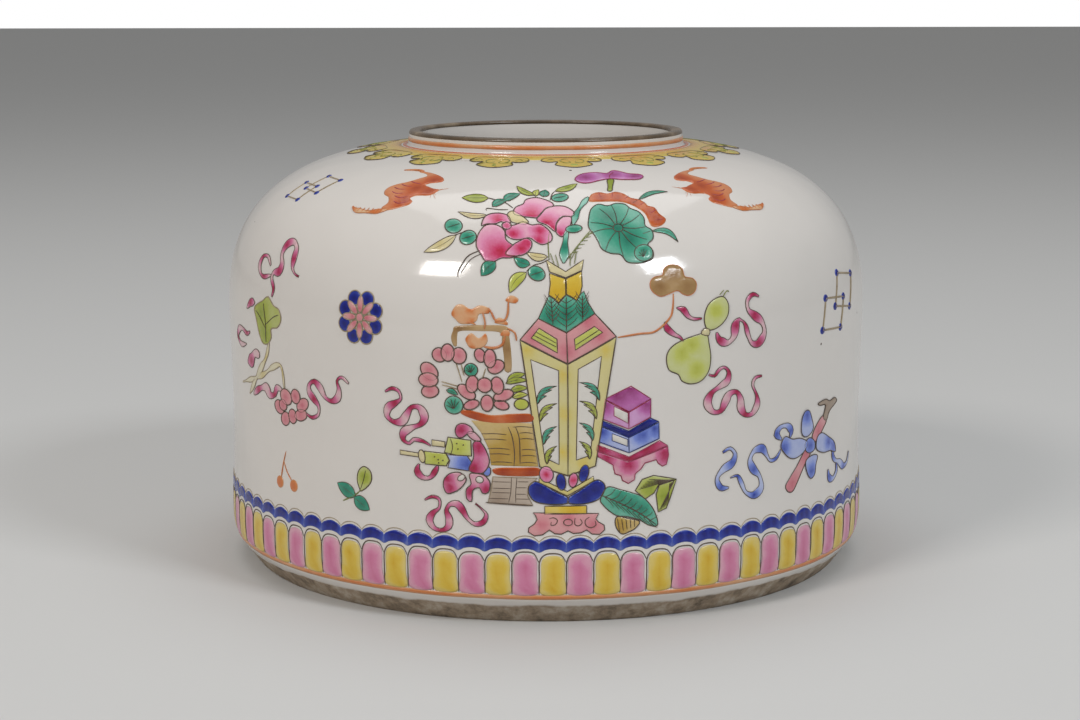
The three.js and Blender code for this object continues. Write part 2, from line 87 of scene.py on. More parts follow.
class WasherColours(bpy.types.PropertyGroup):
    """Colours of the porcelain and of the outlines"""
    porcelain: bpy.props.FloatVectorProperty(
        name="Porcelain", description="Glazed white", subtype="COLOR", size=3, default=(0.70, 0.665, 0.625))
    biscuit: bpy.props.FloatVectorProperty(
        name="Biscuit", description="Bare foot", subtype="COLOR", size=3, default=(0.30, 0.23, 0.16))
    outline: bpy.props.FloatVectorProperty(
        name="Outline", description="Dark brown drawing", subtype="COLOR", size=3,
        default=(0.055, 0.035, 0.022))
    lip: bpy.props.FloatVectorProperty(
        name="Lip", description="Brown dressing on the lip", subtype="COLOR", size=3,
        default=(0.13, 0.09, 0.055))


def sizes():
    return bpy.context.scene.washer_sizes


def colours():
    return bpy.context.scene.washer_colours


# Surface of the vessel

def catmull(points, t):
    """A point on a uniform Catmull-Rom curve, with t from 0 to 1."""
    place = t * (len(points) - 1)
    i = min(int(place), len(points) - 2)
    w = place - i
    p0, p1 = points[max(i - 1, 0)], points[i]
    p2, p3 = points[i + 1], points[min(i + 2, len(points) - 1)]
    return tuple(0.5 * (2 * b + (c - a) * w + (2 * a - 5 * b + 4 * c - d) * w * w
                        + (3 * b - a - 3 * c + d) * w ** 3)
                 for a, b, c, d in zip(p0, p1, p2, p3))


class Surface:
    """The painted outside: a height along it, in mm, gives a radius, a height and an outward direction."""

    def __init__(self):
        s = sizes()
        self.widest = s.body_radius / MM
        shoulder, neck = s.shoulder_height / MM, s.neck_height / MM
        self.wall_points = [(64.3, 5.2), (self.widest, 10.0), (self.widest - 0.4, 28.0),
                            (self.widest, shoulder)]
        centre, exponent = 20.0, 2.6
        power = 2 / exponent
        neck_turn = math.acos(((s.neck_radius / MM - centre) / (self.widest - centre)) ** (exponent / 2))
        profile = [catmull(self.wall_points, i / 36) for i in range(37)]
        for i in range(1, 61):
            turn = neck_turn * i / 60
            profile.append((centre + (self.widest - centre) * math.cos(turn) ** power,
                            shoulder + (neck - shoulder) * math.sin(turn) ** power))
        self.profile = profile
        self.heights = [profile[0][1]]
        for (r0, z0), (r1, z1) in zip(profile, profile[1:]):
            self.heights.append(self.heights[-1] + math.hypot(r1 - r0, z1 - z0))
        self.top = self.heights[-1]

    def at(self, height):
        h = min(max(height, self.heights[0]), self.top)
        low, high = 0, len(self.heights) - 1
        while high - low > 1:
            middle = (low + high) // 2
            if self.heights[middle] <= h:
                low = middle
            else:
                high = middle
        (r0, z0), (r1, z1) = self.profile[low], self.profile[high]
        span = self.heights[high] - self.heights[low]
        along_r, along_z = (r1 - r0) / span, (z1 - z0) / span
        step = h - self.heights[low]
        return r0 + step * along_r, z0 + step * along_z, along_z, -along_r

    def point(self, angle, x, height, lift):
        """A point in metres: x mm round from an angle in degrees, lifted off the glaze."""
        r, z, out_r, out_z = self.at(height)
        turn = math.radians(angle) + x / r
        r += out_r * lift
        return Vector((r * math.sin(turn), -r * math.cos(turn), z + out_z * lift)) * MM


# Shader groups and materials

def new_group(name, inputs, outputs):
    tree = bpy.data.node_groups.new(name, "ShaderNodeTree")
    for kind, label, default in inputs:
        socket = tree.interface.new_socket(name=label, in_out="INPUT", socket_type=kind)
        if default is not None:
            socket.default_value = default
    for kind, label in outputs:
        tree.interface.new_socket(name=label, in_out="OUTPUT", socket_type=kind)
    return tree, tree.nodes.new("NodeGroupInput"), tree.nodes.new("NodeGroupOutput")


def noise(nodes, links, vector, scale, detail, roughness=0.55):
    node = nodes.new("ShaderNodeTexNoise")
    node.inputs["Scale"].default_value = scale
    node.inputs["Detail"].default_value = detail
    node.inputs["Roughness"].default_value = roughness
    links.new(vector, node.inputs["Vector"])
    return node.outputs["Fac"]


def math_node(nodes, links, operation, first, second, clamp=False):
    node = nodes.new("ShaderNodeMath")
    node.operation = operation
    node.use_clamp = clamp
    for socket, value in zip(node.inputs, (first, second)):
        if isinstance(value, (int, float)):
            socket.default_value = value
        else:
            links.new(value, socket)
    return node.outputs[0]


def ramp(nodes, links, factor, stops):
    node = nodes.new("ShaderNodeValToRGB")
    elements = node.color_ramp.elements
    while len(elements) < len(stops):
        elements.new(0.5)
    for element, (place, colour) in zip(elements, stops):
        element.position = place
        element.color = (*colour, 1.0)
    links.new(factor, node.inputs["Fac"])
    return node.outputs["Color"]


def map_range(nodes, links, value, low, high, to_low, to_high):
    node = nodes.new("ShaderNodeMapRange")
    node.inputs["From Min"].default_value = low
    node.inputs["From Max"].default_value = high
    node.inputs["To Min"].default_value = to_low
    node.inputs["To Max"].default_value = to_high
    links.new(value, node.inputs["Value"])
    return node.outputs["Result"]


def brushwork_group():
    """Breaks up a painted tone with soft pools and fine brush mottling."""
    name = "Brushwork"
    if name in bpy.data.node_groups:
        return bpy.data.node_groups[name]
    tree, inside, outside = new_group(
        name,
        [("NodeSocketFloat", "Tone", 0.5), ("NodeSocketFloat", "Mottle", 0.25),
         ("NodeSocketVector", "Vector", None)],
        [("NodeSocketFloat", "Tone")])
    nodes, links = tree.nodes, tree.links
    pools = noise(nodes, links, inside.outputs["Vector"], 420.0, 2.0)
    grains = noise(nodes, links, inside.outputs["Vector"], 2600.0, 3.0)
    mixed = math_node(nodes, links, "ADD", math_node(nodes, links, "MULTIPLY", pools, 0.65),
                      math_node(nodes, links, "MULTIPLY", grains, 0.35))
    swing = math_node(nodes, links, "MULTIPLY", math_node(nodes, links, "SUBTRACT", mixed, 0.5),
                      math_node(nodes, links, "MULTIPLY", inside.outputs["Mottle"], 2.0))
    links.new(math_node(nodes, links, "ADD", inside.outputs["Tone"], swing, clamp=True),
              outside.inputs["Tone"])
    return tree


def ripple_group():
    """The slight waviness and orange-peel of fired glaze."""
    name = "Glaze Ripple"
    if name in bpy.data.node_groups:
        return bpy.data.node_groups[name]
    tree, inside, outside = new_group(
        name,
        [("NodeSocketVector", "Vector", None), ("NodeSocketFloat", "Wave", 0.3),
         ("NodeSocketFloat", "Peel", 0.05)],
        [("NodeSocketVector", "Normal")])
    nodes, links = tree.nodes, tree.links
    previous = None
    for scale, detail, label, distance in ((55.0, 1.0, "Wave", 0.0012), (900.0, 2.0, "Peel", 0.00012)):
        bump = nodes.new("ShaderNodeBump")
        bump.inputs["Distance"].default_value = distance
        links.new(inside.outputs[label], bump.inputs["Strength"])
        links.new(noise(nodes, links, inside.outputs["Vector"], scale, detail), bump.inputs["Height"])
        if previous:
            links.new(previous, bump.inputs["Normal"])
        previous = bump.outputs["Normal"]
    links.new(previous, outside.inputs["Normal"])
    return tree


def material_base(name):
    material = bpy.data.materials.new(name)
    material.use_nodes = True
    nodes, links = material.node_tree.nodes, material.node_tree.links
    shader = nodes["Principled BSDF"]
    coordinates = nodes.new("ShaderNodeTexCoord").outputs["Object"]
    return material, nodes, links, shader, coordinates


def add_ripple(nodes, links, shader, coordinates, wave, peel):
    group = nodes.new("ShaderNodeGroup")
    group.node_tree = ripple_group()
    group.inputs["Wave"].default_value = wave
    group.inputs["Peel"].default_value = peel
    links.new(coordinates, group.inputs["Vector"])
    links.new(group.outputs["Normal"], shader.inputs["Normal"])


def enamel_material(name, stops, mottle=0.22, roughness=0.16):
    """Enamel whose colour runs from pale to deep with the painted tone attribute."""
    if name in bpy.data.materials:
        return bpy.data.materials[name]
    material, nodes, links, shader, coordinates = material_base(name)
    tone = nodes.new("ShaderNodeAttribute")
    tone.attribute_name = "tone"
    brush = nodes.new("ShaderNodeGroup")
    brush.node_tree = brushwork_group()
    brush.inputs["Mottle"].default_value = mottle
    links.new(tone.outputs["Fac"], brush.inputs["Tone"])
    links.new(coordinates, brush.inputs["Vector"])
    links.new(ramp(nodes, links, brush.outputs["Tone"], stops), shader.inputs["Base Color"])
    links.new(map_range(nodes, links, brush.outputs["Tone"], 0.0, 1.0, roughness + 0.08, roughness),
              shader.inputs["Roughness"])
    add_ripple(nodes, links, shader, coordinates, 0.12, 0.35)
    return material


PAINTS = {
    "pink": ("pink_enamel", [(0.0, (0.78, 0.52, 0.58)), (0.45, (0.68, 0.24, 0.40)), (0.8, (0.55, 0.05, 0.14)),
                             (1.0, (0.42, 0.01, 0.03))]),
    "rose": ("pink_enamel", [(0.0, (0.66, 0.36, 0.36)), (0.6, (0.60, 0.22, 0.25)),
                             (1.0, (0.50, 0.12, 0.16))]),
    "lappet_pink": ("pink_enamel", [(0.0, (0.68, 0.42, 0.48)), (0.5, (0.62, 0.22, 0.36)),
                                    (1.0, (0.55, 0.14, 0.27))]),
    "magenta": ("magenta_enamel", [(0.0, (0.66, 0.45, 0.47)), (0.35, (0.58, 0.16, 0.30)),
                                   (0.75, (0.40, 0.02, 0.09)),
                                   (1.0, (0.28, 0.01, 0.03))]),
    "purple": ("magenta_enamel", [(0.0, (0.62, 0.36, 0.60)), (0.5, (0.45, 0.12, 0.36)),
                                  (1.0, (0.22, 0.01, 0.10))]),
    "blue": ("blue_enamel", [(0.0, (0.22, 0.27, 0.48)), (0.35, (0.03, 0.06, 0.36)),
                             (0.7, (0.006, 0.012, 0.21)),
                             (1.0, (0.003, 0.006, 0.11))]),
    "sky": ("blue_enamel", [(0.0, (0.45, 0.50, 0.70)), (0.5, (0.17, 0.24, 0.62)), (1.0, (0.01, 0.03, 0.30))]),
    "yellow": ("yellow_enamel", [(0.0, (0.66, 0.55, 0.22)), (0.5, (0.66, 0.47, 0.06)),
                                 (1.0, (0.60, 0.36, 0.015))]),
    "straw": ("yellow_enamel", [(0.0, (0.62, 0.57, 0.32)), (0.5, (0.60, 0.52, 0.20)),
                                (1.0, (0.62, 0.45, 0.05))]),
    "mustard": ("brown_enamel", [(0.0, (0.58, 0.44, 0.22)), (0.5, (0.46, 0.30, 0.06)),
                                 (1.0, (0.36, 0.20, 0.03))]),
    "teal": ("green_enamel", [(0.0, (0.26, 0.52, 0.42)), (0.5, (0.05, 0.32, 0.21)),
                              (1.0, (0.01, 0.14, 0.09))]),
    "leaf": ("leaf_green_enamel", [(0.0, (0.52, 0.54, 0.26)), (0.5, (0.36, 0.41, 0.06)),
                                   (1.0, (0.22, 0.28, 0.02))]),
    "lemon": ("leaf_green_enamel", [(0.0, (0.56, 0.58, 0.30)), (0.5, (0.50, 0.53, 0.12)),
                                    (1.0, (0.40, 0.42, 0.04))]),
    "iron": ("iron_red_enamel", [(0.0, (0.62, 0.28, 0.13)), (0.5, (0.50, 0.10, 0.02)),
                                 (1.0, (0.32, 0.04, 0.008))]),
    "orange": ("iron_red_enamel", [(0.0, (0.66, 0.42, 0.24)), (0.5, (0.60, 0.20, 0.06)),
                                   (1.0, (0.52, 0.11, 0.02))]),
    "bronze": ("brown_enamel", [(0.0, (0.48, 0.32, 0.16)), (0.5, (0.36, 0.22, 0.09)),
                                (1.0, (0.24, 0.12, 0.04))]),
    "tan": ("brown_enamel", [(0.0, (0.48, 0.40, 0.33)), (0.5, (0.40, 0.32, 0.25)),
                             (1.0, (0.30, 0.22, 0.16))]),
    "cream": ("yellow_enamel", [(0.0, (0.66, 0.61, 0.44)), (0.5, (0.64, 0.56, 0.32)),
                                (1.0, (0.56, 0.45, 0.18))]),
    "white": ("white_glaze", [(0.0, (0.68, 0.66, 0.62)), (0.5, (0.66, 0.63, 0.58)),
                              (1.0, (0.60, 0.55, 0.48))]),
    "cloud": ("yellow_enamel", [(0.0, (0.50, 0.44, 0.12)), (0.5, (0.62, 0.43, 0.06)),
                                (1.0, (0.60, 0.27, 0.04))]),
}
STROKE_SLOTS = {"line": "brown_lip_glaze", "rust": "iron_red_enamel", "navy": "blue_enamel",
                "wine": "magenta_enamel", "moss": "leaf_green_enamel", "soft": "brown_enamel"}


def paint(finish):
    if finish in STROKE_SLOTS:
        return stroke_material(finish)
    return enamel_material(f"{finish}_enamel_finish", PAINTS[finish][1])


def stroke_material(finish):
    name = f"{finish}_stroke_finish"
    if name in bpy.data.materials:
        return bpy.data.materials[name]
    dark = tuple(colours().outline)
    tints = {"line": (dark, (0.13, 0.09, 0.06)), "rust": ((0.50, 0.14, 0.04), (0.62, 0.26, 0.10)),
             "navy": ((0.004, 0.006, 0.09), (0.02, 0.04, 0.2)),
             "wine": ((0.22, 0.01, 0.04), (0.4, 0.05, 0.12)),
             "moss": ((0.12, 0.14, 0.02), (0.24, 0.26, 0.06)),
             "soft": ((0.26, 0.19, 0.11), (0.40, 0.32, 0.20))}
    material, nodes, links, shader, coordinates = material_base(name)
    low, high = tints[finish]
    load = noise(nodes, links, coordinates, 700.0, 3.0)
    links.new(ramp(nodes, links, load, [(0.3, low), (0.7, high)]), shader.inputs["Base Color"])
    links.new(map_range(nodes, links, load, 0.3, 0.7, 0.25, 0.4), shader.inputs["Roughness"])
    return material


def porcelain_material():
    """White glaze with iron specks, and a bare stained foot below an uneven glaze edge."""
    material, nodes, links, shader, coordinates = material_base("porcelain_finish")
    split = nodes.new("ShaderNodeSeparateXYZ")
    links.new(coordinates, split.inputs["Vector"])
    height = split.outputs["Z"]
    white = tuple(colours().porcelain)
    bare = tuple(colours().biscuit)
    cloud = noise(nodes, links, coordinates, 28.0, 3.0)
    glaze = ramp(nodes, links, cloud, [(0.3, tuple(c * 0.965 for c in white)), (0.7, white)])
    stain = noise(nodes, links, coordinates, 240.0, 6.0, 0.7)
    biscuit = ramp(nodes, links, stain, [(0.3, tuple(c * 0.28 for c in bare)), (0.5, bare),
                                         (0.72, (0.52, 0.46, 0.38))])
    ragged = noise(nodes, links, coordinates, 95.0, 4.0, 0.6)
    edge = math_node(nodes, links, "ADD", height, math_node(nodes, links, "MULTIPLY", ragged, 0.0022))
    glazed = map_range(nodes, links, edge, 0.0046, 0.0051, 0.0, 1.0)
    inside_ring = nodes.new("ShaderNodeVectorMath")
    inside_ring.operation = "LENGTH"
    flat = nodes.new("ShaderNodeCombineXYZ")
    links.new(split.outputs["X"], flat.inputs["X"])
    links.new(split.outputs["Y"], flat.inputs["Y"])
    links.new(flat.outputs["Vector"], inside_ring.inputs[0])
    base = map_range(nodes, links, inside_ring.outputs["Value"], 0.0537, 0.0542, 1.0, 0.0)
    cover = math_node(nodes, links, "MAXIMUM", glazed, base)
    speck_cells = nodes.new("ShaderNodeTexVoronoi")
    speck_cells.inputs["Scale"].default_value = 210.0
    links.new(coordinates, speck_cells.inputs["Vector"])
    speck_size = nodes.new("ShaderNodeSeparateColor")
    links.new(speck_cells.outputs["Color"], speck_size.inputs["Color"])
    reach = map_range(nodes, links, speck_size.outputs["Red"], 0.9, 1.0, 0.0, 0.09)
    speck = math_node(nodes, links, "LESS_THAN", speck_cells.outputs["Distance"], reach)
    mixes = []
    for factor, first, second in ((speck, glaze, (0.10, 0.07, 0.05, 1.0)), (cover, biscuit, None)):
        mix = nodes.new("ShaderNodeMix")
        mix.data_type = "RGBA"
        links.new(factor, mix.inputs["Factor"])
        links.new(first, mix.inputs["A"])
        if second:
            mix.inputs["B"].default_value = second
        else:
            links.new(mixes[0], mix.inputs["B"])
        mixes.append(mix.outputs["Result"])
    links.new(mixes[1], shader.inputs["Base Color"])
    links.new(map_range(nodes, links, cover, 0.0, 1.0, 0.85, 0.1), shader.inputs["Roughness"])
    add_ripple(nodes, links, shader, coordinates, 0.35, 0.05)
    return material


def lip_material():
    material, nodes, links, shader, coordinates = material_base("lip_dressing_finish")
    brown = tuple(colours().lip)
    wash = noise(nodes, links, coordinates, 160.0, 4.0)
    links.new(ramp(nodes, links, wash, [(0.3, tuple(c * 0.6 for c in brown)), (0.55, brown),
                                        (0.8, (0.34, 0.27, 0.19))]),
              shader.inputs["Base Color"])
    links.new(map_range(nodes, links, wash, 0.3, 0.8, 0.2, 0.4), shader.inputs["Roughness"])
    add_ripple(nodes, links, shader, coordinates, 0.1, 0.2)
    return material


# Mesh helpers

def finish_piece(name, mesh, material, nodes=()):
    mesh.materials.clear()
    mesh.materials.append(material)
    mesh.polygons.foreach_set("use_smooth", [True] * len(mesh.polygons))
    piece = bpy.data.objects.new(name, mesh)
    bpy.context.scene.collection.objects.link(piece)
    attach(piece, ROOT)
    if nodes:
        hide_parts(*nodes)
    return piece


def turned_mesh(name, outline, steps, closed=True):
    """A mesh spun about Z from [radius, height] points in mm."""
    bm = bmesh.new()
    verts = [bm.verts.new((r * MM, 0.0, z * MM)) for r, z in outline]
    pairs = list(zip(verts, verts[1:]))
    if closed:
        pairs.append((verts[-1], verts[0]))
    edges = [bm.edges.new(pair) for pair in pairs]
    bmesh.ops.spin(bm, geom=verts + edges, cent=(0, 0, 0), axis=(0, 0, 1), angle=math.tau, steps=steps,
                   use_merge=True, use_duplicate=False)
    bmesh.ops.remove_doubles(bm, verts=bm.verts, dist=1e-7)
    bmesh.ops.recalc_face_normals(bm, faces=bm.faces)
    mesh = bpy.data.meshes.new(name)
    bm.to_mesh(mesh)
    bm.free()
    return mesh


def smooth_path(points, closed=False, step=0.45):
    """Points along a smooth curve through a few points."""
    count = len(points)
    spans = count if closed else count - 1
    path = []
    for i in range(spans):
        if closed:
            around = [points[(i + k - 1) % count] for k in range(4)]
        else:
            around = [points[min(max(i + k - 1, 0), count - 1)] for k in range(4)]
        p1, p2 = around[1], around[2]
        pieces = max(2, round(math.dist(p1, p2) / step))
        for j in range(pieces):
            path.append(catmull(around, (1 + j / pieces) / 3))
    if not closed:
        path.append(tuple(points[-1]))
    return path


def straight_path(points, closed=False, step=1.5):
    """Points along straight edges, close enough to follow the round body."""
    path = []
    ends = list(zip(points, points[1:])) + ([(points[-1], points[0])] if closed else [])
    for p1, p2 in ends:
        pieces = max(1, round(math.dist(p1, p2) / step))
        for j in range(pieces):
            w = j / pieces
            path.append((p1[0] + (p2[0] - p1[0]) * w, p1[1] + (p2[1] - p1[1]) * w))
    if not closed:
        path.append(tuple(points[-1]))
    return path


def leaf_outline(base, tip, width, bend=0.0):
    """A pointed leaf from its base to its tip, bent sideways by a share of its length."""
    bx, bh = base
    tx, th = tip
    length = math.dist(base, tip)
    ux, uh = (tx - bx) / length, (th - bh) / length
    left, right = [], []
    for i in range(7):
        t = i / 6
        half = width / 2 * math.sin(math.pi * t ** 0.85) ** 0.8 if 0 < t < 1 else 0.0
        sag = bend * length * math.sin(math.pi * t)
        cx, ch = bx + ux * length * t - uh * sag, bh + uh * length * t + ux * sag
        left.append((cx - uh * half, ch + ux * half))
        right.append((cx + uh * half, ch - ux * half))
    return left + right[-2:0:-1], (left, right)


def ellipse(cx, ch, rx, rh, tilt=0.0, count=14):
    turn = math.radians(tilt)
    points = []
    for i in range(count):
        a = math.tau * i / count
        px, ph = rx * math.cos(a), rh * math.sin(a)
        points.append((cx + px * math.cos(turn) - ph * math.sin(turn),
                       ch + px * math.sin(turn) + ph * math.cos(turn)))
    return points


def ribbon_outline(path, width, swell=0.35):
    """A waving ribbon: broad where it turns, narrow between."""
    middle = smooth_path(path, step=0.5)
    left, right = [], []
    last = len(middle) - 1
    for i, (x, h) in enumerate(middle):
        x0, h0 = middle[max(i - 1, 0)]
        x1, h1 = middle[min(i + 1, last)]
        length = math.hypot(x1 - x0, h1 - h0) or 1.0
        nx, nh = -(h1 - h0) / length, (x1 - x0) / length
        ends = min(1.0, 0.25 + 3.0 * min(i, last - i) / last)
        half = width / 2 * ends * (1 + swell * math.sin(i * 0.55))
        left.append((x + nx * half, h + nh * half))
        right.append((x - nx * half, h - nh * half))
    return left + right[::-1]


class Motif:
    """A painted figure: fills of enamel and drawn lines, in mm about an angle round the vessel."""

    def __init__(self, name, angle, flip=1, shift=0.0):
        self.name = name
        self.angle = angle
        self.flip = flip
        self.shift = shift
        self.fills = {}
        self.strokes = {}

    def fill(self, finish, outline, core=None, reach=4.0, tone=0.5, level=0, rim=0.2, grid=1.1, pale=0.25,
             edge=None, corners=False, width=0.2):
        path = straight_path(outline, True) if corners else smooth_path(outline, True)
        self.fills.setdefault(finish, []).append((path, core, reach, tone, level, rim, grid, pale))
        if edge:
            self.line(outline, width, edge, level + 1, True, corners=corners)

    def line(self, points, width=0.2, finish="line", level=2, closed=False, corners=False, taper=0.0):
        path = straight_path(points, closed) if corners else smooth_path(points, closed)
        self.strokes.setdefault(finish, []).append((path, width, level, closed, taper))

    def leaf(self, finish, base, tip, width, bend=0.0, edge="line", vein=True, tone=0.45, level=0):
        outline, sides = leaf_outline(base, tip, width, bend)
        core = ((base[0] + tip[0]) / 2, (base[1] + tip[1]) / 2)
        path = smooth_path(sides[0], step=0.5)[:-1] + smooth_path(sides[1], step=0.5)[::-1][:-1]
        self.fills.setdefault(finish, []).append((path, core, width * 0.9, tone, level, 0.14, 0.8, 0.3))
        if edge:
            self.line(sides[0], 0.17, edge, level + 1)
            self.line(sides[1], 0.17, edge, level + 1)
        if vein:
            middle = [((a[0] + b[0]) / 2, (a[1] + b[1]) / 2) for a, b in zip(*sides)]
            self.line(middle[:-1], 0.13, edge or "line", level + 2, taper=0.5)

    def ribbon(self, path, width=1.35, finish="magenta", edge="line", level=0, turns=None):
        outline = ribbon_outline(path, width)
        deep = turns if turns else path[1::3]
        self.fills.setdefault(finish, []).append((outline, deep, 2.4, 0.0, level, 0.13, 0.8, 0.35))
        if edge:
            self.strokes.setdefault(edge, []).append((outline, 0.15, level + 1, True, 0.0))

    def build(self, replaced=None):
        pieces = {}
        for finish, shapes in self.fills.items():
            mesh = self.fill_mesh(f"{self.name}_{finish}", shapes)
            pieces[finish] = finish_piece(mesh.name, mesh, paint(finish),
                                          (replaced or {}).get(finish, ()))
        for finish, strokes in self.strokes.items():
            mesh = self.stroke_mesh(f"{self.name}_{finish}_strokes", strokes)
            finish_piece(mesh.name, mesh, paint(finish),
                         (replaced or {}).get(finish, ()))
        return pieces

    def lift(self, code, level):
        thick = sizes().enamel / MM
        base = 0.045 * level
        if code <= 1.0:
            return -0.12 + (base + 0.14) * code
        return base + 0.02 + (thick - 0.02) * (code - 1.0)

    def fill_mesh(self, name, shapes):
        whole = bmesh.new()
        tones = whole.verts.layers.float.new("tone")
        for path, core, reach, tone, level, rim, grid, pale in shapes:
            patch = flat_patch(path, rim, grid)
            made = {}
            for v in patch.verts:
                x, h, code = v.co
                copy = whole.verts.new(surface.point(self.angle, (x + self.shift) * self.flip, h,
                                                     self.lift(code, level)))
                copy[tones] = painted_tone(x, h, code, core, reach, tone, pale)
                made[v] = copy
            for face in patch.faces:
                corners = [made[v] for v in face.verts]
                whole.faces.new(corners if self.flip > 0 else corners[::-1])
            patch.free()
        mesh = bpy.data.meshes.new(name)
        whole.to_mesh(mesh)
        whole.free()
        return mesh

    def stroke_mesh(self, name, strokes):
        data = bpy.data.curves.new(name, "CURVE")
        data.dimensions = "3D"
        data.bevel_depth = 0.1 * MM
        data.bevel_resolution = 0
        data.use_fill_caps = True
        for path, width, level, closed, taper in strokes:
            spline = data.splines.new("POLY")
            spline.points.add(len(path) - 1)
            spline.use_cyclic_u = closed
            last = len(path) - 1
            for i, (x, h) in enumerate(path):
                place = surface.point(self.angle, (x + self.shift) * self.flip, h, 0.03 + 0.045 * level)
                spline.points[i].co = (*place, 1.0)
                share = min(i, last - i) / max(last, 1)
                thin = 1.0 if closed else min(1.0, 0.55 + 2.5 * share)
                fade = 1.0 - taper * i / max(last, 1)
                spline.points[i].radius = width / 0.2 * thin * fade
        curve = bpy.data.objects.new(name, data)
        bpy.context.scene.collection.objects.link(curve)
        mesh = bpy.data.meshes.new_from_object(curve.evaluated_get(bpy.context.evaluated_depsgraph_get()))
        bpy.data.objects.remove(curve)
        bpy.data.curves.remove(data)
        mesh.name = name
        return mesh


def flat_patch(path, rim, grid):
    """A flat closed patch whose z is a code: 0 under the glaze, 1 at the rim's foot, 2 on top."""
    bm = bmesh.new()
    face = bm.faces.new([bm.verts.new((x, h, 0.0)) for x, h in path])
    face.normal_update()
    if face.normal.z < 0:
        bmesh.ops.reverse_faces(bm, faces=[face])
    made = bmesh.ops.extrude_face_region(bm, geom=[face], use_keep_orig=True)
    tops = [g for g in made["geom"] if isinstance(g, bmesh.types.BMFace)]
    for v in tops[0].verts:
        v.co.z = 1.0
    bmesh.ops.inset_individual(bm, faces=tops, thickness=rim, depth=0.0, use_even_offset=False)
    for v in tops[0].verts:
        v.co.z = 2.0
    bmesh.ops.recalc_face_normals(bm, faces=bm.faces)
    for axis in (0, 1):
        low = min(p[axis] for p in path)
        high = max(p[axis] for p in path)
        cuts = int((high - low) / grid)
        for i in range(1, cuts + 1):
            place = [0.0, 0.0, 0.0]
            normal = [0.0, 0.0, 0.0]
            place[axis] = low + (high - low) * i / (cuts + 1)
            normal[axis] = 1.0
            geometry = bm.verts[:] + bm.edges[:] + bm.faces[:]
            bmesh.ops.bisect_plane(bm, geom=geometry, dist=1e-5, plane_co=place, plane_no=normal)
    return bm


def painted_tone(x, h, code, core, reach, tone, pale):
    """How strongly the enamel is loaded at a point: deep at its core and paler at the rim."""
    value = tone
    if core:
        cores = core if isinstance(core, list) else [core]
        nearest = min(math.dist((x, h), c) for c in cores)
        value = tone + (1.0 - tone) * max(0.0, 1.0 - nearest / reach) ** 1.2
    if code < 1.5:
        value *= pale
    return value


# Pieces of the vessel

def build_vessel():
    s = sizes()
    wall = s.wall / MM
    neck, mouth = s.neck_radius / MM, s.mouth_radius / MM
    top, foot = s.total_height / MM, s.foot_radius / MM
    floor_top, recess, ring = 7.9, 2.6, 6.0
    outside = surface.profile
    inside = []
    for i, (r, z) in enumerate(outside):
        (r0, z0), (r1, z1) = outside[max(i - 1, 0)], outside[min(i + 1, len(outside) - 1)]
        length = math.hypot(r1 - r0, z1 - z0)
        inside.append((r - (z1 - z0) / length * wall, z + (r1 - r0) / length * wall))
    inside = [(r, z) for r, z in inside if z > floor_top + 8.0 and r > mouth + 1.0]
    corner = [(inside[0][0] - 8.0 * (1 - math.sin(a)), floor_top + 8.0 * (1 - math.cos(a)))
              for a in (math.radians(d) for d in range(80, -1, -10))]
    under_neck = inside[-1][1]
    outline = [(0.0, recess), (foot - ring - 0.8, recess), (foot - ring - 0.2, recess - 0.3),
               (foot - ring, 0.5), (foot - ring + 0.5, 0.0), (foot - 0.5, 0.0), (foot, 0.4)]
    outline += [(foot + (64.3 - foot) * t, 0.4 + 4.8 * t) for t in (0.2, 0.45, 0.7, 0.9)]
    outline += outside
    outline += [(neck - 0.05, 83.95), (neck - 0.2, 84.4), (neck - 0.3, 85.2), (neck - 0.35, top - 0.45),
                (neck - 0.6, top - 0.12), (neck - 1.1, top), (mouth + 0.7, top), (mouth + 0.2, top - 0.15),
                (mouth, top - 0.6), (mouth, under_neck + 1.2), (mouth + 0.3, under_neck + 0.4)]
    outline += inside[::-1] + corner + [(0.0, floor_top)]
    mesh = turned_mesh("vessel_body", outline, 240, closed=False)
    finish_piece("vessel_body", mesh, porcelain_material(),
                 ("lower_body", "shoulder_dome", "neck_collar", "outer_glaze", "inner_glaze", "base_glaze"))
    lip = [(neck - 0.38, top - 0.95), (neck - 0.3, top - 0.5), (neck - 0.55, top - 0.05),
           (neck - 1.1, top + 0.03),
           (mouth + 0.7, top + 0.03), (mouth + 0.15, top - 0.12), (mouth - 0.04, top - 0.7),
           (mouth + 0.3, top - 0.7),
           (neck - 0.9, top - 0.9)]
    finish_piece("lip_dressing", turned_mesh("lip_dressing", lip, 192), lip_material(),
                 ("lip_line",))


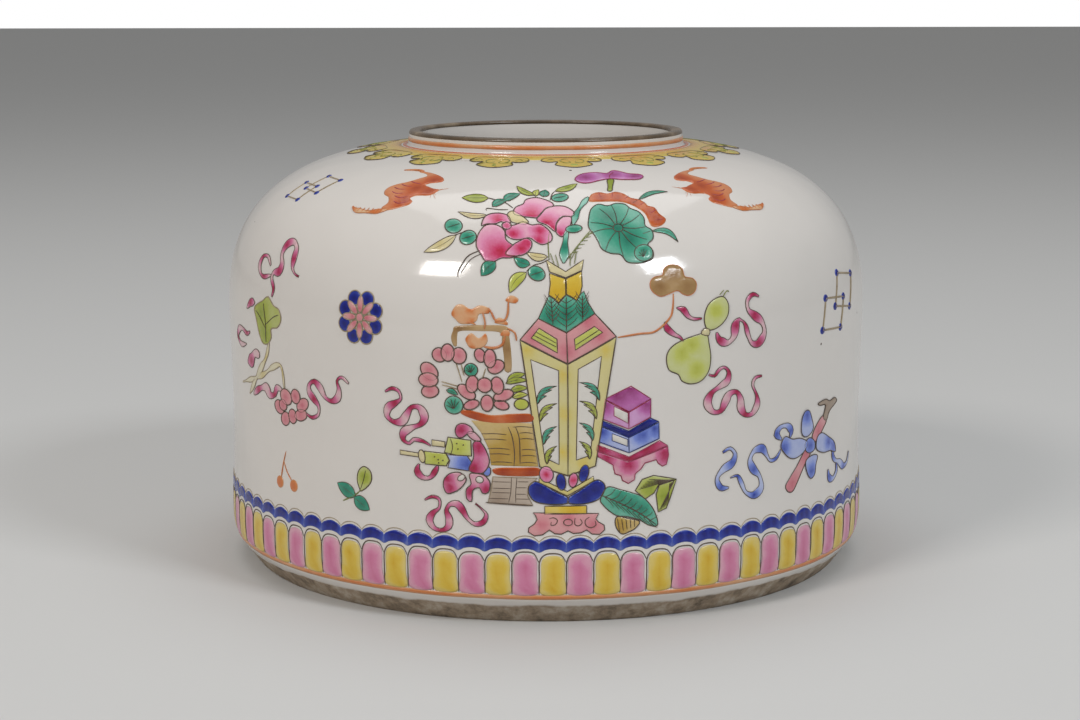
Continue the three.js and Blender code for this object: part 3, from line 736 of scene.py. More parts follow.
def red_ring(name, low, high, radius_at, seed, nodes):
    """A drawn line right round, uneven as a brush leaves it."""
    rng = random.Random(seed)
    bm = bmesh.new()
    steps = 240
    wobble = [rng.uniform(-1, 1) for _ in range(steps)]
    wobble = [sum(wobble[(i + k) % steps] for k in range(-3, 4)) / 7 for i in range(steps)]
    rings = [(low, -0.1), (low, 0.02), ((low + high) / 2, 0.1), (high, 0.02), (high, -0.1)]
    loops = []
    tones = bm.verts.layers.float.new("tone")
    for i in range(steps):
        turn = math.tau * i / steps
        loop = []
        for place, lift in rings:
            z = place + wobble[i] * 0.12 * (1 if place > (low + high) / 2 else -1)
            r = radius_at(z) + lift
            v = bm.verts.new((r * math.sin(turn) * MM, -r * math.cos(turn) * MM, z * MM))
            v[tones] = 0.45 + 0.5 * wobble[i] if lift > 0.05 else 0.15
            loop.append(v)
        loops.append(loop)
    for a, b in zip(loops, loops[1:] + loops[:1]):
        for j in range(len(rings)):
            k = (j + 1) % len(rings)
            bm.faces.new((a[j], b[j], b[k], a[k]))
    bmesh.ops.recalc_face_normals(bm, faces=bm.faces)
    mesh = bpy.data.meshes.new(name)
    bm.to_mesh(mesh)
    bm.free()
    finish_piece(name, mesh, paint("orange"), nodes)


def build_lines():
    s = sizes()
    neck = s.neck_radius / MM
    red_ring("foot_red_line", 5.25, 6.2, lambda z: surface.at(z)[0], 11, ("foot_line",))
    red_ring("collar_red_line", 84.35, 85.2, lambda z: neck - 0.2 - 0.1 * (z - 84.35), 12, ("collar_line",))


def build_borders():
    """Lappets, blue scallops and the yellow cloud collar, all repeated round the axis."""
    rng = random.Random(5)
    s = sizes()
    count = 2 * s.lappet_pairs
    edge = math.pi * surface.widest / count
    lappets = {"lappet_pink": Motif("lappets", 0.0), "yellow": Motif("lappets_gold", 0.0)}
    drawing = Motif("lappet_drawing", 0.0)
    blue = Motif("scallops", 0.0)
    for i in range(count):
        angle = FRONT + 1.94 + 360.0 * i / count
        c = rng.uniform(-0.1, 0.1)
        half = edge - 0.28 + rng.uniform(-0.08, 0.04)
        top = 13.95 + rng.uniform(-0.15, 0.15)
        lappet = Motif("lappet", angle)
        finish = "yellow" if i % 2 else "lappet_pink"
        centre_line = [(c + rng.uniform(-0.3, 0.3), 7.5 + 1.4 * k) for k in range(4)]
        lappet.fill(finish, [(c - half, 6.45), (c + half, 6.45), (c + half, 9.5), (c + half, top - 1.5),
                             (c + half * 0.72, top - 0.35), (c, top), (c - half * 0.72, top - 0.35),
                             (c - half, top - 1.5), (c - half, 9.5)],
                    core=centre_line, reach=2.0, tone=0.2, rim=0.32, grid=1.3, pale=0.1)
        merge_motif(lappets[finish], lappet, angle)
        outline = Motif("lappet_outline", angle)
        outline.line([(-edge, 6.4), (-edge + 0.03, 10), (-edge + 0.08, 12.6), (-edge * 0.62, top + 0.1),
                      (0, top + 0.4), (edge * 0.62, top + 0.1), (edge - 0.08, 12.6)], 0.24, "line", 0)
        merge_motif(drawing, outline, angle)
        crest = 17.15 + rng.uniform(-0.12, 0.12)
        scallop = Motif("scallop", angle)
        scallop.fill("blue", [(-edge, 16.0), (-edge * 0.62, crest - 0.4), (0, crest),
                              (edge * 0.62, crest - 0.4),
                              (edge, 16.0), (edge, 14.35), (edge * 0.6, 14.8), (0, 15.05),
                              (-edge * 0.6, 14.8),
                              (-edge, 14.35)],
                     core=[(-0.8, 16.1), (0.8, 16.1)], reach=2.2, tone=0.22, rim=0.22, grid=1.0, pale=0.35)
        scallop.line([(-edge, 16.35), (-edge * 0.6, crest + 0.1), (0, crest + 0.42),
                      (edge * 0.6, crest + 0.1),
                      (edge, 16.35)], 0.17, "soft", 0)
        merge_motif(blue, scallop, angle)
    lappets["lappet_pink"].build({"lappet_pink": ("lappet_border",)})
    lappets["yellow"].build()
    drawing.build()
    blue.build({"blue": ("scallop_border",)})

    cloud = Motif("cloud_collar", 0.0)
    lobe_width = 11.4
    neck_top = surface.top
    for i in range(s.cloud_lobes):
        angle = 360.0 / s.cloud_lobes * i + FRONT + 4.5
        lobe = Motif("lobe", angle)
        w = lobe_width / 2
        out = neck_top - 12.3 + rng.uniform(-0.4, 0.4)
        lobe.fill("cloud", [(-w * 0.78, neck_top - 5.0), (-w * 1.02, out + 4.9), (-w * 0.8, out + 3.6),
                            (-w * 0.5, out + 3.9), (-w * 0.62, out + 1.7), (-w * 0.3, out + 0.4), (0, out),
                            (w * 0.3, out + 0.4), (w * 0.62, out + 1.7), (w * 0.5, out + 3.9),
                            (w * 0.8, out + 3.6),
                            (w * 1.02, out + 4.9), (w * 0.78, neck_top - 5.0), (0, neck_top - 4.4)],
                  core=(0, neck_top - 4.5), reach=6.0, tone=0.4, rim=0.3, grid=1.1, pale=0.0, edge="line")
        for side in (-1, 1):
            lobe.line([(side * 0.5, out + 6.0), (side * 1.7, out + 5.6), (side * 2.3, out + 4.2),
                       (side * 1.5, out + 2.7), (side * 0.5, out + 3.0), (side * 0.7, out + 4.1)], 0.2,
                      "moss", 2)
            lobe.line([(side * 4.6, out + 5.0), (side * 3.9, out + 5.7), (side * 3.2, out + 5.1)], 0.18,
                      "moss", 2)
        lobe.fill("leaf", ellipse(0, out + 1.5, 0.8, 0.7), level=1, rim=0.12)
        merge_motif(cloud, lobe, angle)
    cloud_band(neck_top)
    cloud.build({"cloud": ("cloud_collar",)})


def merge_motif(target, part, angle):
    """Adds a small motif's shapes to a larger one, turned to its own angle."""
    for finish, shapes in part.fills.items():
        for path, core, reach, tone, level, rim, grid, pale in shapes:
            moved, cores = turn_path(path, angle), turn_cores(core, angle)
            target.fills.setdefault(finish, []).append((moved, cores, reach, tone, level, rim, grid, pale))
    for finish, strokes in part.strokes.items():
        for path, width, level, closed, taper in strokes:
            moved = turn_path(path, angle)
            target.strokes.setdefault(finish, []).append((moved, width, level, closed, taper))


def turn_path(path, angle):
    return [(x + math.radians(angle) * surface.at(h)[0], h) for x, h in path]


def turn_cores(core, angle):
    if core is None:
        return None
    return turn_path(core if isinstance(core, list) else [core], angle)


def cloud_band(neck_top):
    """The plain ring of the cloud collar next to the neck, with a thin red line at the neck."""
    low, high = surface.at(neck_top - 6.3), surface.at(neck_top - 0.4)
    for name, start, end, finish, nodes in (
            ("cloud_ring", neck_top - 6.4, neck_top - 1.3, "cloud", ()),
            ("neck_red_line", neck_top - 1.0, neck_top - 0.25, "orange", ())):
        count = 5
        top = [surface.at(start + (end - start) * i / count) for i in range(count + 1)]
        outline = [(r + out_r * (0.11 if 0 < i < count else 0.02),
                    z + out_z * (0.11 if 0 < i < count else 0.02))
                   for i, (r, z, out_r, out_z) in enumerate(top)]
        outline += [(r - out_r * 0.1, z - out_z * 0.1) for r, z, out_r, out_z in (top[-1], top[0])]
        mesh = turned_mesh(name, outline, 192)
        tones = mesh.attributes.new("tone", "FLOAT", "POINT")
        radius_low, radius_high = high[0], low[0]
        for vertex, value in zip(mesh.vertices, tones.data):
            radius = math.hypot(vertex.co.x, vertex.co.y) / MM
            value.value = 1.0 - 0.75 * (radius - radius_low) / (radius_high - radius_low)
        finish_piece(name, mesh, paint(finish), nodes)


def build_vase(angle, suffix, flip=1):
    m = Motif(f"vase{suffix}", angle, flip)
    m.fill("cream", [(-3.7, 68), (-0.3, 65.8), (3, 68), (2.6, 66), (-0.3, 64.7), (-3.2, 65.8)], corners=True,
           edge="line", rim=0.12)
    m.fill("yellow", [(-3.2, 65.5), (-0.35, 64.5), (-0.35, 61.6), (-1.1, 60.9), (-1.7, 60.2), (-2.5, 61),
                      (-3.4, 61.6), (-3.1, 63.6)], core=(-2, 62), tone=0.35, edge="line", corners=True)
    m.fill("yellow", [(-0.25, 64.5), (2.55, 65.8), (2.6, 63.2), (2.3, 61.9), (1.6, 60.6), (0.7, 61.2),
                      (-0.25, 61.7)],
           core=(1.2, 62), tone=0.35, edge="line", corners=True)
    m.fill("teal", [(-3.4, 61.4), (-2.5, 60.9), (-1.7, 60.0), (-1.0, 60.8), (-0.3, 61.6), (0.7, 61.1),
                    (1.6, 60.5),
                    (2.3, 61.8), (2.9, 62.2), (3.6, 60.2), (4.8, 58.2), (-0.3, 54.9), (-5.3, 57.4),
                    (-4.1, 60)],
           core=[(-0.3, 58), (-3, 57.6), (3, 58.6)], reach=2.6, tone=0.35, edge="line", corners=True)
    for stem, head, spread in (((-0.3, 55.2), (-0.3, 61.3), 2.0), ((-2.7, 56.4), (-3.0, 61.0), 1.3),
                               ((2.6, 57.0), (2.6, 61.4), 1.2)):
        m.line([stem, head], 0.18, "line", 3)
        for i in range(5):
            t = 0.12 + 0.17 * i
            x, h = stem[0] + (head[0] - stem[0]) * t, stem[1] + (head[1] - stem[1]) * t
            for side in (-1, 1):
                m.line([(x, h), (x + side * spread * 0.6, h + 0.8), (x + side * spread, h + 1.7)], 0.15,
                       "line", 3,
                       taper=0.5)
    m.fill("rose", [(-5.3, 57.4), (-0.3, 54.8), (4.8, 58.2), (8.7, 54), (-0.1, 49.2), (-8.6, 53.6)],
           core=[(5.5, 54.5), (-0.2, 51.5), (3.5, 57), (-6, 54)], reach=2.5, tone=0.25, edge="line",
           corners=True,
           width=0.24)
    m.fill("lemon", [(-5.2, 55.7), (-2, 53.7), (-1.9, 51.2), (-6.6, 53.9)], level=1, edge="line",
           corners=True)
    m.fill("lemon", [(1.1, 53.7), (4.7, 55.9), (6.2, 54.8), (1.3, 51.7)], level=1, edge="line", corners=True)
    m.line([(-6.1, 54.4), (-2.1, 52.3)], 0.15, "line", 4)
    m.line([(-5.7, 55.0), (-2.1, 53.0)], 0.12, "line", 4)
    m.line([(1.3, 52.6), (5.6, 55.3)], 0.15, "line", 4)
    m.fill("straw", [(-8.6, 53.5), (-0.1, 49.1), (8.7, 53.9), (5, 30.3), (0, 28.6), (-5.1, 30.3)],
           core=[(-7.2, 51.5), (6.8, 51.5), (-0.8, 47), (-0.8, 33), (2.8, 31.2), (-0.6, 40)], reach=2.3,
           tone=0.3,
           edge="line", corners=True, width=0.26)
    for window in ([(-6.7, 50), (-1.7, 48), (-1.6, 30.7), (-4.2, 32.0)],
                   [(6, 50.5), (1.8, 48.2), (1.5, 31.5), (4, 32.3)]):
        m.fill("white", window, level=1, edge="line", corners=True, rim=0.12)
    m.line([(-0.3, 64.7), (-0.3, 61.8)], 0.22, "line", 3)
    m.line([(-0.3, 54.8), (-0.1, 49.2), (0.0, 40.0), (0.0, 28.7)], 0.26, "line", 3, corners=True)
    for side, rows in ((-1, ((45.0, "soft_teal"), (41.8, "leaf"), (37.6, "teal"), (34.0, "leaf"))),
                       (1, ((45.6, "teal"), (42.2, "leaf"), (38.2, "teal"), (34.8, "leaf")))):
        for h, finish in rows:
            sprig(m, side, h, "teal" if finish == "soft_teal" else finish)
    for centre, finish, rx, rh, tilt in (((-3.9, 28.9), "pink", 1.25, 1.5, 12),
                                         ((-1.25, 27.5), "blue", 0.85, 1.55, 8),
                                         ((0.95, 27.8), "pink", 0.8, 1.35, -8),
                                         ((2.9, 29.0), "blue", 0.85, 1.6, -14)):
        m.fill(finish, ellipse(*centre, rx, rh, tilt), core=centre, reach=1.6, tone=0.3, level=1, edge="line",
               rim=0.16, grid=0.8)
    m.fill("straw", [(-5.2, 28.2), (-0.1, 25.7), (4.6, 28.4), (4.7, 27.6), (-0.1, 24.9), (-5.2, 27.4)],
           corners=True,
           edge="line", rim=0.1)
    m.build({"straw": (f"vase{suffix}",)})

    base = Motif(f"vase_base{suffix}", angle, flip)
    base.fill("blue", [(-7.2, 25.9), (-6.9, 27), (-6, 27.6), (-4.6, 27.1), (-2.2, 25.7), (0, 24.6),
                       (-0.1, 23.5),
                       (-2.8, 23.3), (-5.6, 23.7), (-6.8, 24.7)],
              core=[(-5.2, 25.9), (-3.2, 24.8)], reach=3.0, tone=0.35, edge="line", rim=0.4, pale=0.05)
    base.fill("blue", [(0.1, 24.6), (2.2, 25.9), (4.4, 27.4), (5.6, 27.7), (6.6, 27), (6.8, 26.1),
                       (6.2, 24.7),
                       (5, 23.8), (2.6, 23.3), (0.1, 23.5)],
              core=[(4.9, 26.1), (3, 24.9)], reach=3.0, tone=0.35, edge="line", rim=0.4, pale=0.05)
    base.build({"blue": (f"vase_base{suffix}",)})

    stand = Motif(f"vase_stand{suffix}", angle, flip)
    stand.fill("yellow", [(-4.2, 23), (3.4, 23), (3.4, 21.5), (-4.2, 21.5)], core=(1, 22.2), reach=3.0,
               tone=0.3,
               edge="line", corners=True)
    stand.fill("rose", [(-6.3, 21.8), (5.6, 21.5), (5.1, 20.5), (5.6, 19.9), (6.6, 19.3), (6.7, 18.4),
                        (5.8, 17.6),
                        (4.4, 17.7), (3.4, 18.5), (2.4, 18.0), (1.0, 17.9), (0, 18.4), (-1.2, 17.8),
                        (-2.4, 17.9),
                        (-3.4, 18.6), (-4.6, 17.7), (-6.1, 17.5), (-7.2, 18.2), (-7.1, 19), (-6.1, 19.7),
                        (-5.6, 20.5), (-5.9, 21.3)],
               core=[(-4.7, 19.6), (4.6, 19.4), (0, 20.6)], reach=2.0, tone=0.2, edge="line", corners=True)
    stand.line([(-3.4, 20.7), (-2.6, 20.9), (-1.9, 20.4), (-2.3, 19.6), (-3.1, 19.5), (-3.0, 20.1)], 0.17,
               "line", 3)
    stand.line(ellipse(0.0, 20.0, 0.8, 0.6), 0.17, "line", 3, closed=True)
    stand.line([(1.3, 20.8), (1.2, 19.7), (1.9, 19.3), (2.6, 19.9), (2.2, 20.6)], 0.17, "line", 3)
    stand.line([(3.9, 20.9), (3.1, 20.3), (3.3, 19.3), (4.2, 18.9), (5.1, 19.4), (4.9, 20.2)], 0.17, "line",
               3)
    stand.build({"rose": (f"vase_stand{suffix}",)})


def sprig(m, side, h, finish):
    """A tuft of grass inside one of the vase's windows, growing from its edge."""
    outer = side * (3.4 + (h - 31.0) * 0.165)
    inner = side * 1.9
    root = (outer * 0.98, h - 3.2)
    for reach, rise, width in ((0.98, 0.9, 0.75), (0.75, 0.2, 0.8), (0.5, -0.9, 0.75)):
        tip = (outer + (inner - outer) * reach, h + rise - 0.7)
        m.leaf(finish, root, tip, width, bend=-0.22 * side, vein=False, level=2)


def build_bouquet(angle, suffix, flip=1):
    m = Motif(f"peony{suffix}", angle, flip)
    petals = [
        ([(-16.3, 71.3), (-15.7, 73.4), (-14.3, 75.1), (-12.3, 75.1), (-11, 73.8), (-10.8, 72), (-9.2, 70.5),
          (-8.5, 69), (-10, 68.4), (-11.8, 68.3), (-13.2, 67.6), (-14.7, 67.7), (-15.5, 69), (-16.1, 70)],
         [(-9.6, 69.4), (-12, 69.6)], 5.2, 0),
        ([(-15.2, 74.9), (-14.9, 76.4), (-13.9, 77.6), (-12, 78), (-10.4, 77.5), (-9.8, 76), (-10.3, 75.2),
          (-11.5, 75.9), (-12.6, 75.4), (-14.3, 75.3)], [(-12.3, 76.6)], 2.6, 0),
        ([(-9.3, 78.4), (-8.7, 79.7), (-7.4, 80.5), (-6.8, 81.8), (-5, 82.4), (-3.2, 81.7), (-2, 80.7),
          (-2, 79.7),
          (-3.4, 79.1), (-4.2, 77.8), (-5, 76.9), (-6.2, 77), (-7.6, 77.2), (-9, 77.6)], [(-6, 77.9)], 3.6,
         0),
        ([(-5.1, 76.6), (-4, 78.4), (-3.2, 79.4), (-2, 79.9), (-0.2, 79.9), (1, 79.2), (1.8, 78.1),
          (1.4, 77.1),
          (-0.4, 77.2), (-1.6, 75.6), (-1.8, 73.7), (-3.4, 75.2), (-4.6, 75.8)],
         [(-3.4, 75.7), (-2.5, 74.4)], 3.4, 0),
        ([(-1.5, 75.6), (-0.3, 77.1), (1.2, 77), (1, 75.4), (0.2, 73.6), (-0.8, 72.6), (-1.8, 73.7)],
         [(-1.0, 73.2)], 2.6, 0),
        ([(-10.9, 73.3), (-10.4, 74.8), (-9.1, 75.2), (-7.6, 75.9), (-6, 75.2), (-4.6, 75.4), (-3.3, 74.4),
          (-2.5, 73), (-2.7, 71.7), (-4.2, 71), (-5.4, 71.5), (-6.6, 72.4), (-8.4, 72.0), (-9.9, 72.2)],
         [(-5.0, 71.8), (-4.6, 74.0), (-9.4, 73.2)], 2.6, 0),
        ([(-11, 69.2), (-9.8, 68.7), (-7.7, 69), (-6.4, 70.2), (-6.2, 71.6), (-7.2, 72.3), (-8.4, 71.7),
          (-9.6, 70.9)],
         [(-8.0, 70.2), (-7, 71.2)], 3.0, 1),
        (ellipse(-10.6, 75.0, 0.85, 0.85), [(-10.6, 75.0)], 1.2, 1),
    ]
    for outline, cores, reach, level in petals:
        m.fill("pink", outline, core=cores, reach=reach, tone=0.22, level=level, edge="line", grid=0.8,
               rim=0.3,
               pale=0.2)
    m.fill("cream", [(-10.4, 77.7), (-9.4, 78.6), (-7.8, 77.4), (-6.6, 75.9), (-7.4, 75.3), (-8.9, 75.6),
                     (-10, 76.2)],
           edge="line")
    m.build({"pink": (f"peony{suffix}",)})

    leaf = Motif(f"lotus_leaf{suffix}", angle, flip)
    centre = (9.6, 74.3)
    leaf.fill("teal", [(4.3, 76.5), (4.9, 79), (6.3, 80.3), (8, 79.8), (9.6, 80.4), (11.3, 80.1),
                       (12.3, 78.9),
                       (13.8, 78.0), (14.7, 76.4), (14.8, 74.6), (16, 73.6), (16.1, 71.8), (15, 70.6),
                       (15.9, 69.4),
                       (15.8, 67.9), (14.2, 67.2), (12.6, 67.1), (10.9, 67.4), (9.8, 68.8), (8, 69.1),
                       (6.4, 70),
                       (5.7, 71.7), (5.1, 73), (4.2, 74.6)],
              core=[centre, (11.5, 72), (8, 77)], reach=4.6, tone=0.22, edge="line", grid=0.9, rim=0.3)
    leaf.line(ellipse(*centre, 0.9, 0.85), 0.18, "line", 3, closed=True)
    for x, h in ((4.6, 75.6), (6.4, 79.0), (8.7, 79.9), (12.0, 79.2), (13.9, 77.2), (14.8, 74.3),
                 (14.9, 71.6),
                 (13.0, 69.8), (10.3, 68.3), (7.0, 69.6), (4.9, 73.4)):
        way = math.atan2(h - centre[1], x - centre[0])
        start = (centre[0] + 0.9 * math.cos(way), centre[1] + 0.85 * math.sin(way))
        mid = ((start[0] + x) / 2 + 0.25 * math.sin(way), (start[1] + h) / 2 - 0.25 * math.cos(way))
        leaf.line([start, mid, (x, h)], 0.2, "line", 3, taper=0.45)
    leaf.fill("teal", ellipse(14.1, 69.0, 1.75, 1.6), core=(14.1, 69.2), reach=2.2, tone=0.1, level=1,
              edge="line")
    for turn in range(60, 200, 28):
        a = math.radians(turn)
        leaf.line([(14.1, 68.2), (14.1 + 1.1 * math.cos(a), 68.4 + 1.3 * abs(math.sin(a)))], 0.13, "line", 4)
    leaf.build({"teal": (f"lotus_leaf{suffix}",)})

    bloom = Motif(f"red_bloom{suffix}", angle, flip)
    bloom.fill("iron", [(4.7, 81.2), (5.2, 83.3), (6.7, 84), (8.3, 83.5), (9.8, 84), (11.4, 83.3),
                        (12.6, 82.0),
                        (14.2, 81.4), (15.4, 80.2), (15.8, 79.5), (17, 79), (17.8, 77.4), (19, 76),
                        (18.4, 74.8),
                        (17, 74.2), (15.9, 74.6), (15.4, 76.2), (14.9, 77.6), (13.6, 79.0), (12.2, 80.1),
                        (10.6, 80.8), (8.7, 81.0), (6.4, 81.0)],
               core=[(7, 82), (10, 82), (13, 80.5), (16, 77.8), (17.3, 76)], reach=2.0, tone=0.35, grid=0.8,
               pale=0.1)
    for a, b in (((6.6, 83.7), (6.9, 82.2)), ((9.2, 83.6), (9.0, 82.0)), ((12.2, 82.4), (11.3, 81.4)),
                 ((15.2, 80.4), (14.1, 79.6)), ((17.3, 78.3), (15.9, 77.4)), ((18.6, 75.9), (16.9, 75.9))):
        bloom.line([a, b], 0.16, "wine", 2, taper=0.5)
    bloom.build({"iron": (f"red_bloom{suffix}",)})

    cap = Motif(f"lingzhi{suffix}", angle, flip)
    cap.fill("leaf", [(8.7, 88.4), (9.9, 88.4), (9.5, 86), (9.2, 84.3), (8.4, 84.3), (8.6, 86)], edge="line",
             tone=0.9)
    cap.fill("purple", [(2.6, 88.7), (3.4, 90.6), (5, 91.6), (7, 91.7), (8.8, 91.2), (10, 92.5), (11.4, 92),
                        (13, 90.8), (15, 90.3), (15.9, 89.4), (15, 88.2), (13, 88.2), (11, 88.4), (9.3, 88.8),
                        (7.2, 88.2), (5.2, 87.3), (3.6, 87.4)],
             core=[(9.9, 90.6), (4.6, 89.6), (14.2, 89.4)], reach=3.2, tone=0.15, level=1, edge="wine",
             pale=0.4)
    cap.line([(9.2, 88.8), (9.3, 90.2), (10.2, 91.6)], 0.2, "wine", 3)
    cap.build({"purple": (f"lingzhi{suffix}",)})

    green = Motif(f"bouquet_leaves{suffix}", angle, flip)
    for path, width in (([(-0.6, 67.4), (-0.3, 70.6), (0.2, 74.0)], 1.3),
                        ([(1.4, 75.2), (2.3, 78.2), (4.6, 82.4)], 1.0)):
        green.ribbon(path, width, "teal", "line")
    green.fill("teal", ellipse(1.5, 74.3, 1.5, 0.85, 8), core=(1.5, 74.3), reach=1.5, tone=0.2, level=1,
               edge="line")
    for base, tip, width, bend, finish in (
            ((-13.7, 82.1), (-18.8, 82.0), 2.5, 0.02, "leaf"),
                                           ((-10.9, 81.3), (-7.8, 83.6), 1.9, 0.1, "teal"),
            ((-13.1, 79.7), (-10.2, 81.7), 1.7, 0.1, "teal"), ((-5.2, 83.0), (-8.3, 86.2), 1.5, 0.1, "leaf"),
            ((-1.4, 84.4), (2.9, 87.1), 1.8, -0.08, "leaf"),
                                           ((-14.0, 77.4), (-19.6, 78.1), 1.3, 0.1, "cream"),
            ((-20.0, 72.7), (-26.3, 69.0), 1.9, 0.06, "cream"),
                                           ((-12.8, 67.6), (-15.5, 64.9), 2.3, -0.06, "teal"),
            ((-6.6, 67.1), (-9.5, 68.4), 1.8, 0.1, "teal"),
                                           ((-7.3, 65.7), (-10.4, 61.9), 2.1, -0.12, "lemon"),
            ((-3.4, 68.6), (-7.2, 69.4), 1.5, 0.12, "cream"), ((-5.0, 82.8), (-4.4, 85.0), 1.2, 0.1, "lemon"),
            ((14.0, 81.2), (20.2, 83.3), 1.1, 0.14, "teal"), ((15.9, 73.4), (21.0, 70.8), 1.2, 0.2, "teal"),
            ((-3.6, 82.6), (-3.1, 84.9), 1.8, 0.0, "teal")):
        green.leaf(finish, base, tip, width, bend)
    for cx, ch, rx, rh, tilt in ((-20.5, 74.7, 1.7, 1.6, 20), (-17.8, 72.3, 1.7, 1.4, 40),
                                 (-0.6, 82.4, 1.6, 1.2, 20),
                                 (-5.5, 65.5, 1.6, 1.3, -30)):
        green.fill("teal", ellipse(cx, ch, rx, rh, tilt), core=(cx, ch), reach=1.8, tone=0.2, edge="line",
                   grid=0.8)
        green.line([(cx - rx * 0.7, ch - rh * 0.3), (cx, ch), (cx + rx * 0.7, ch + rh * 0.3)], 0.13, "line",
                   3)
    for path, width in (([(-12.4, 81.6), (-13.7, 82.1)], 0.2),
                        ([(-2.4, 81.6), (-2.0, 83.4), (-1.4, 84.4)], 0.18),
                        ([(-9.3, 79.4), (-10.6, 80.8), (-12, 81.8)], 0.18),
                        ([(-4.9, 82.4), (-5.2, 83.4)], 0.2),
                        ([(-14.2, 78.6), (-14.1, 79.2), (-12, 78.9), (-10.2, 78.9)], 0.18),
                        ([(-16.2, 73.0), (-18.3, 73.4), (-20, 72.8), (-21.6, 72.2)], 0.17),
                        ([(-3.0, 68.2), (-4.6, 67.4), (-6.0, 67.0), (-7.3, 65.9)], 0.17),
                        ([(-15.6, 69.7), (-17.9, 68.5), (-19.6, 65.9), (-19.8, 64.6)], 0.22),
                        ([(-15.3, 69.1), (-17.4, 67.9), (-19.2, 65.4)], 0.16),
                        ([(14.0, 72.8), (15.9, 73.4)], 0.18), ([(12.7, 80.2), (14.0, 81.2)], 0.18)):
        green.line(path, width, "line", 1)
    for x0, x1 in ((-3.2, -2.9), (0.2, 5.0), (0.8, 4.4)):
        green.line([(x0, 68.2), ((x0 + x1) / 2 - 0.2, 71.2), (x1, 73.8)], 0.2, "moss", 1)
    for i in range(6):
        x, h = 1.0 + 0.6 * i, 69.4 + 0.75 * i
        green.line([(x, h), (x + 1.1, h + 0.15)], 0.15, "moss", 1)
    for x, h in ((-2.2, 66.9), (-1.5, 66.6), (0.5, 66.8), (1.3, 67.2)):
        green.line([(x, h), (x * 1.35, h + 2.4)], 0.16, "moss", 3)
    green.build()


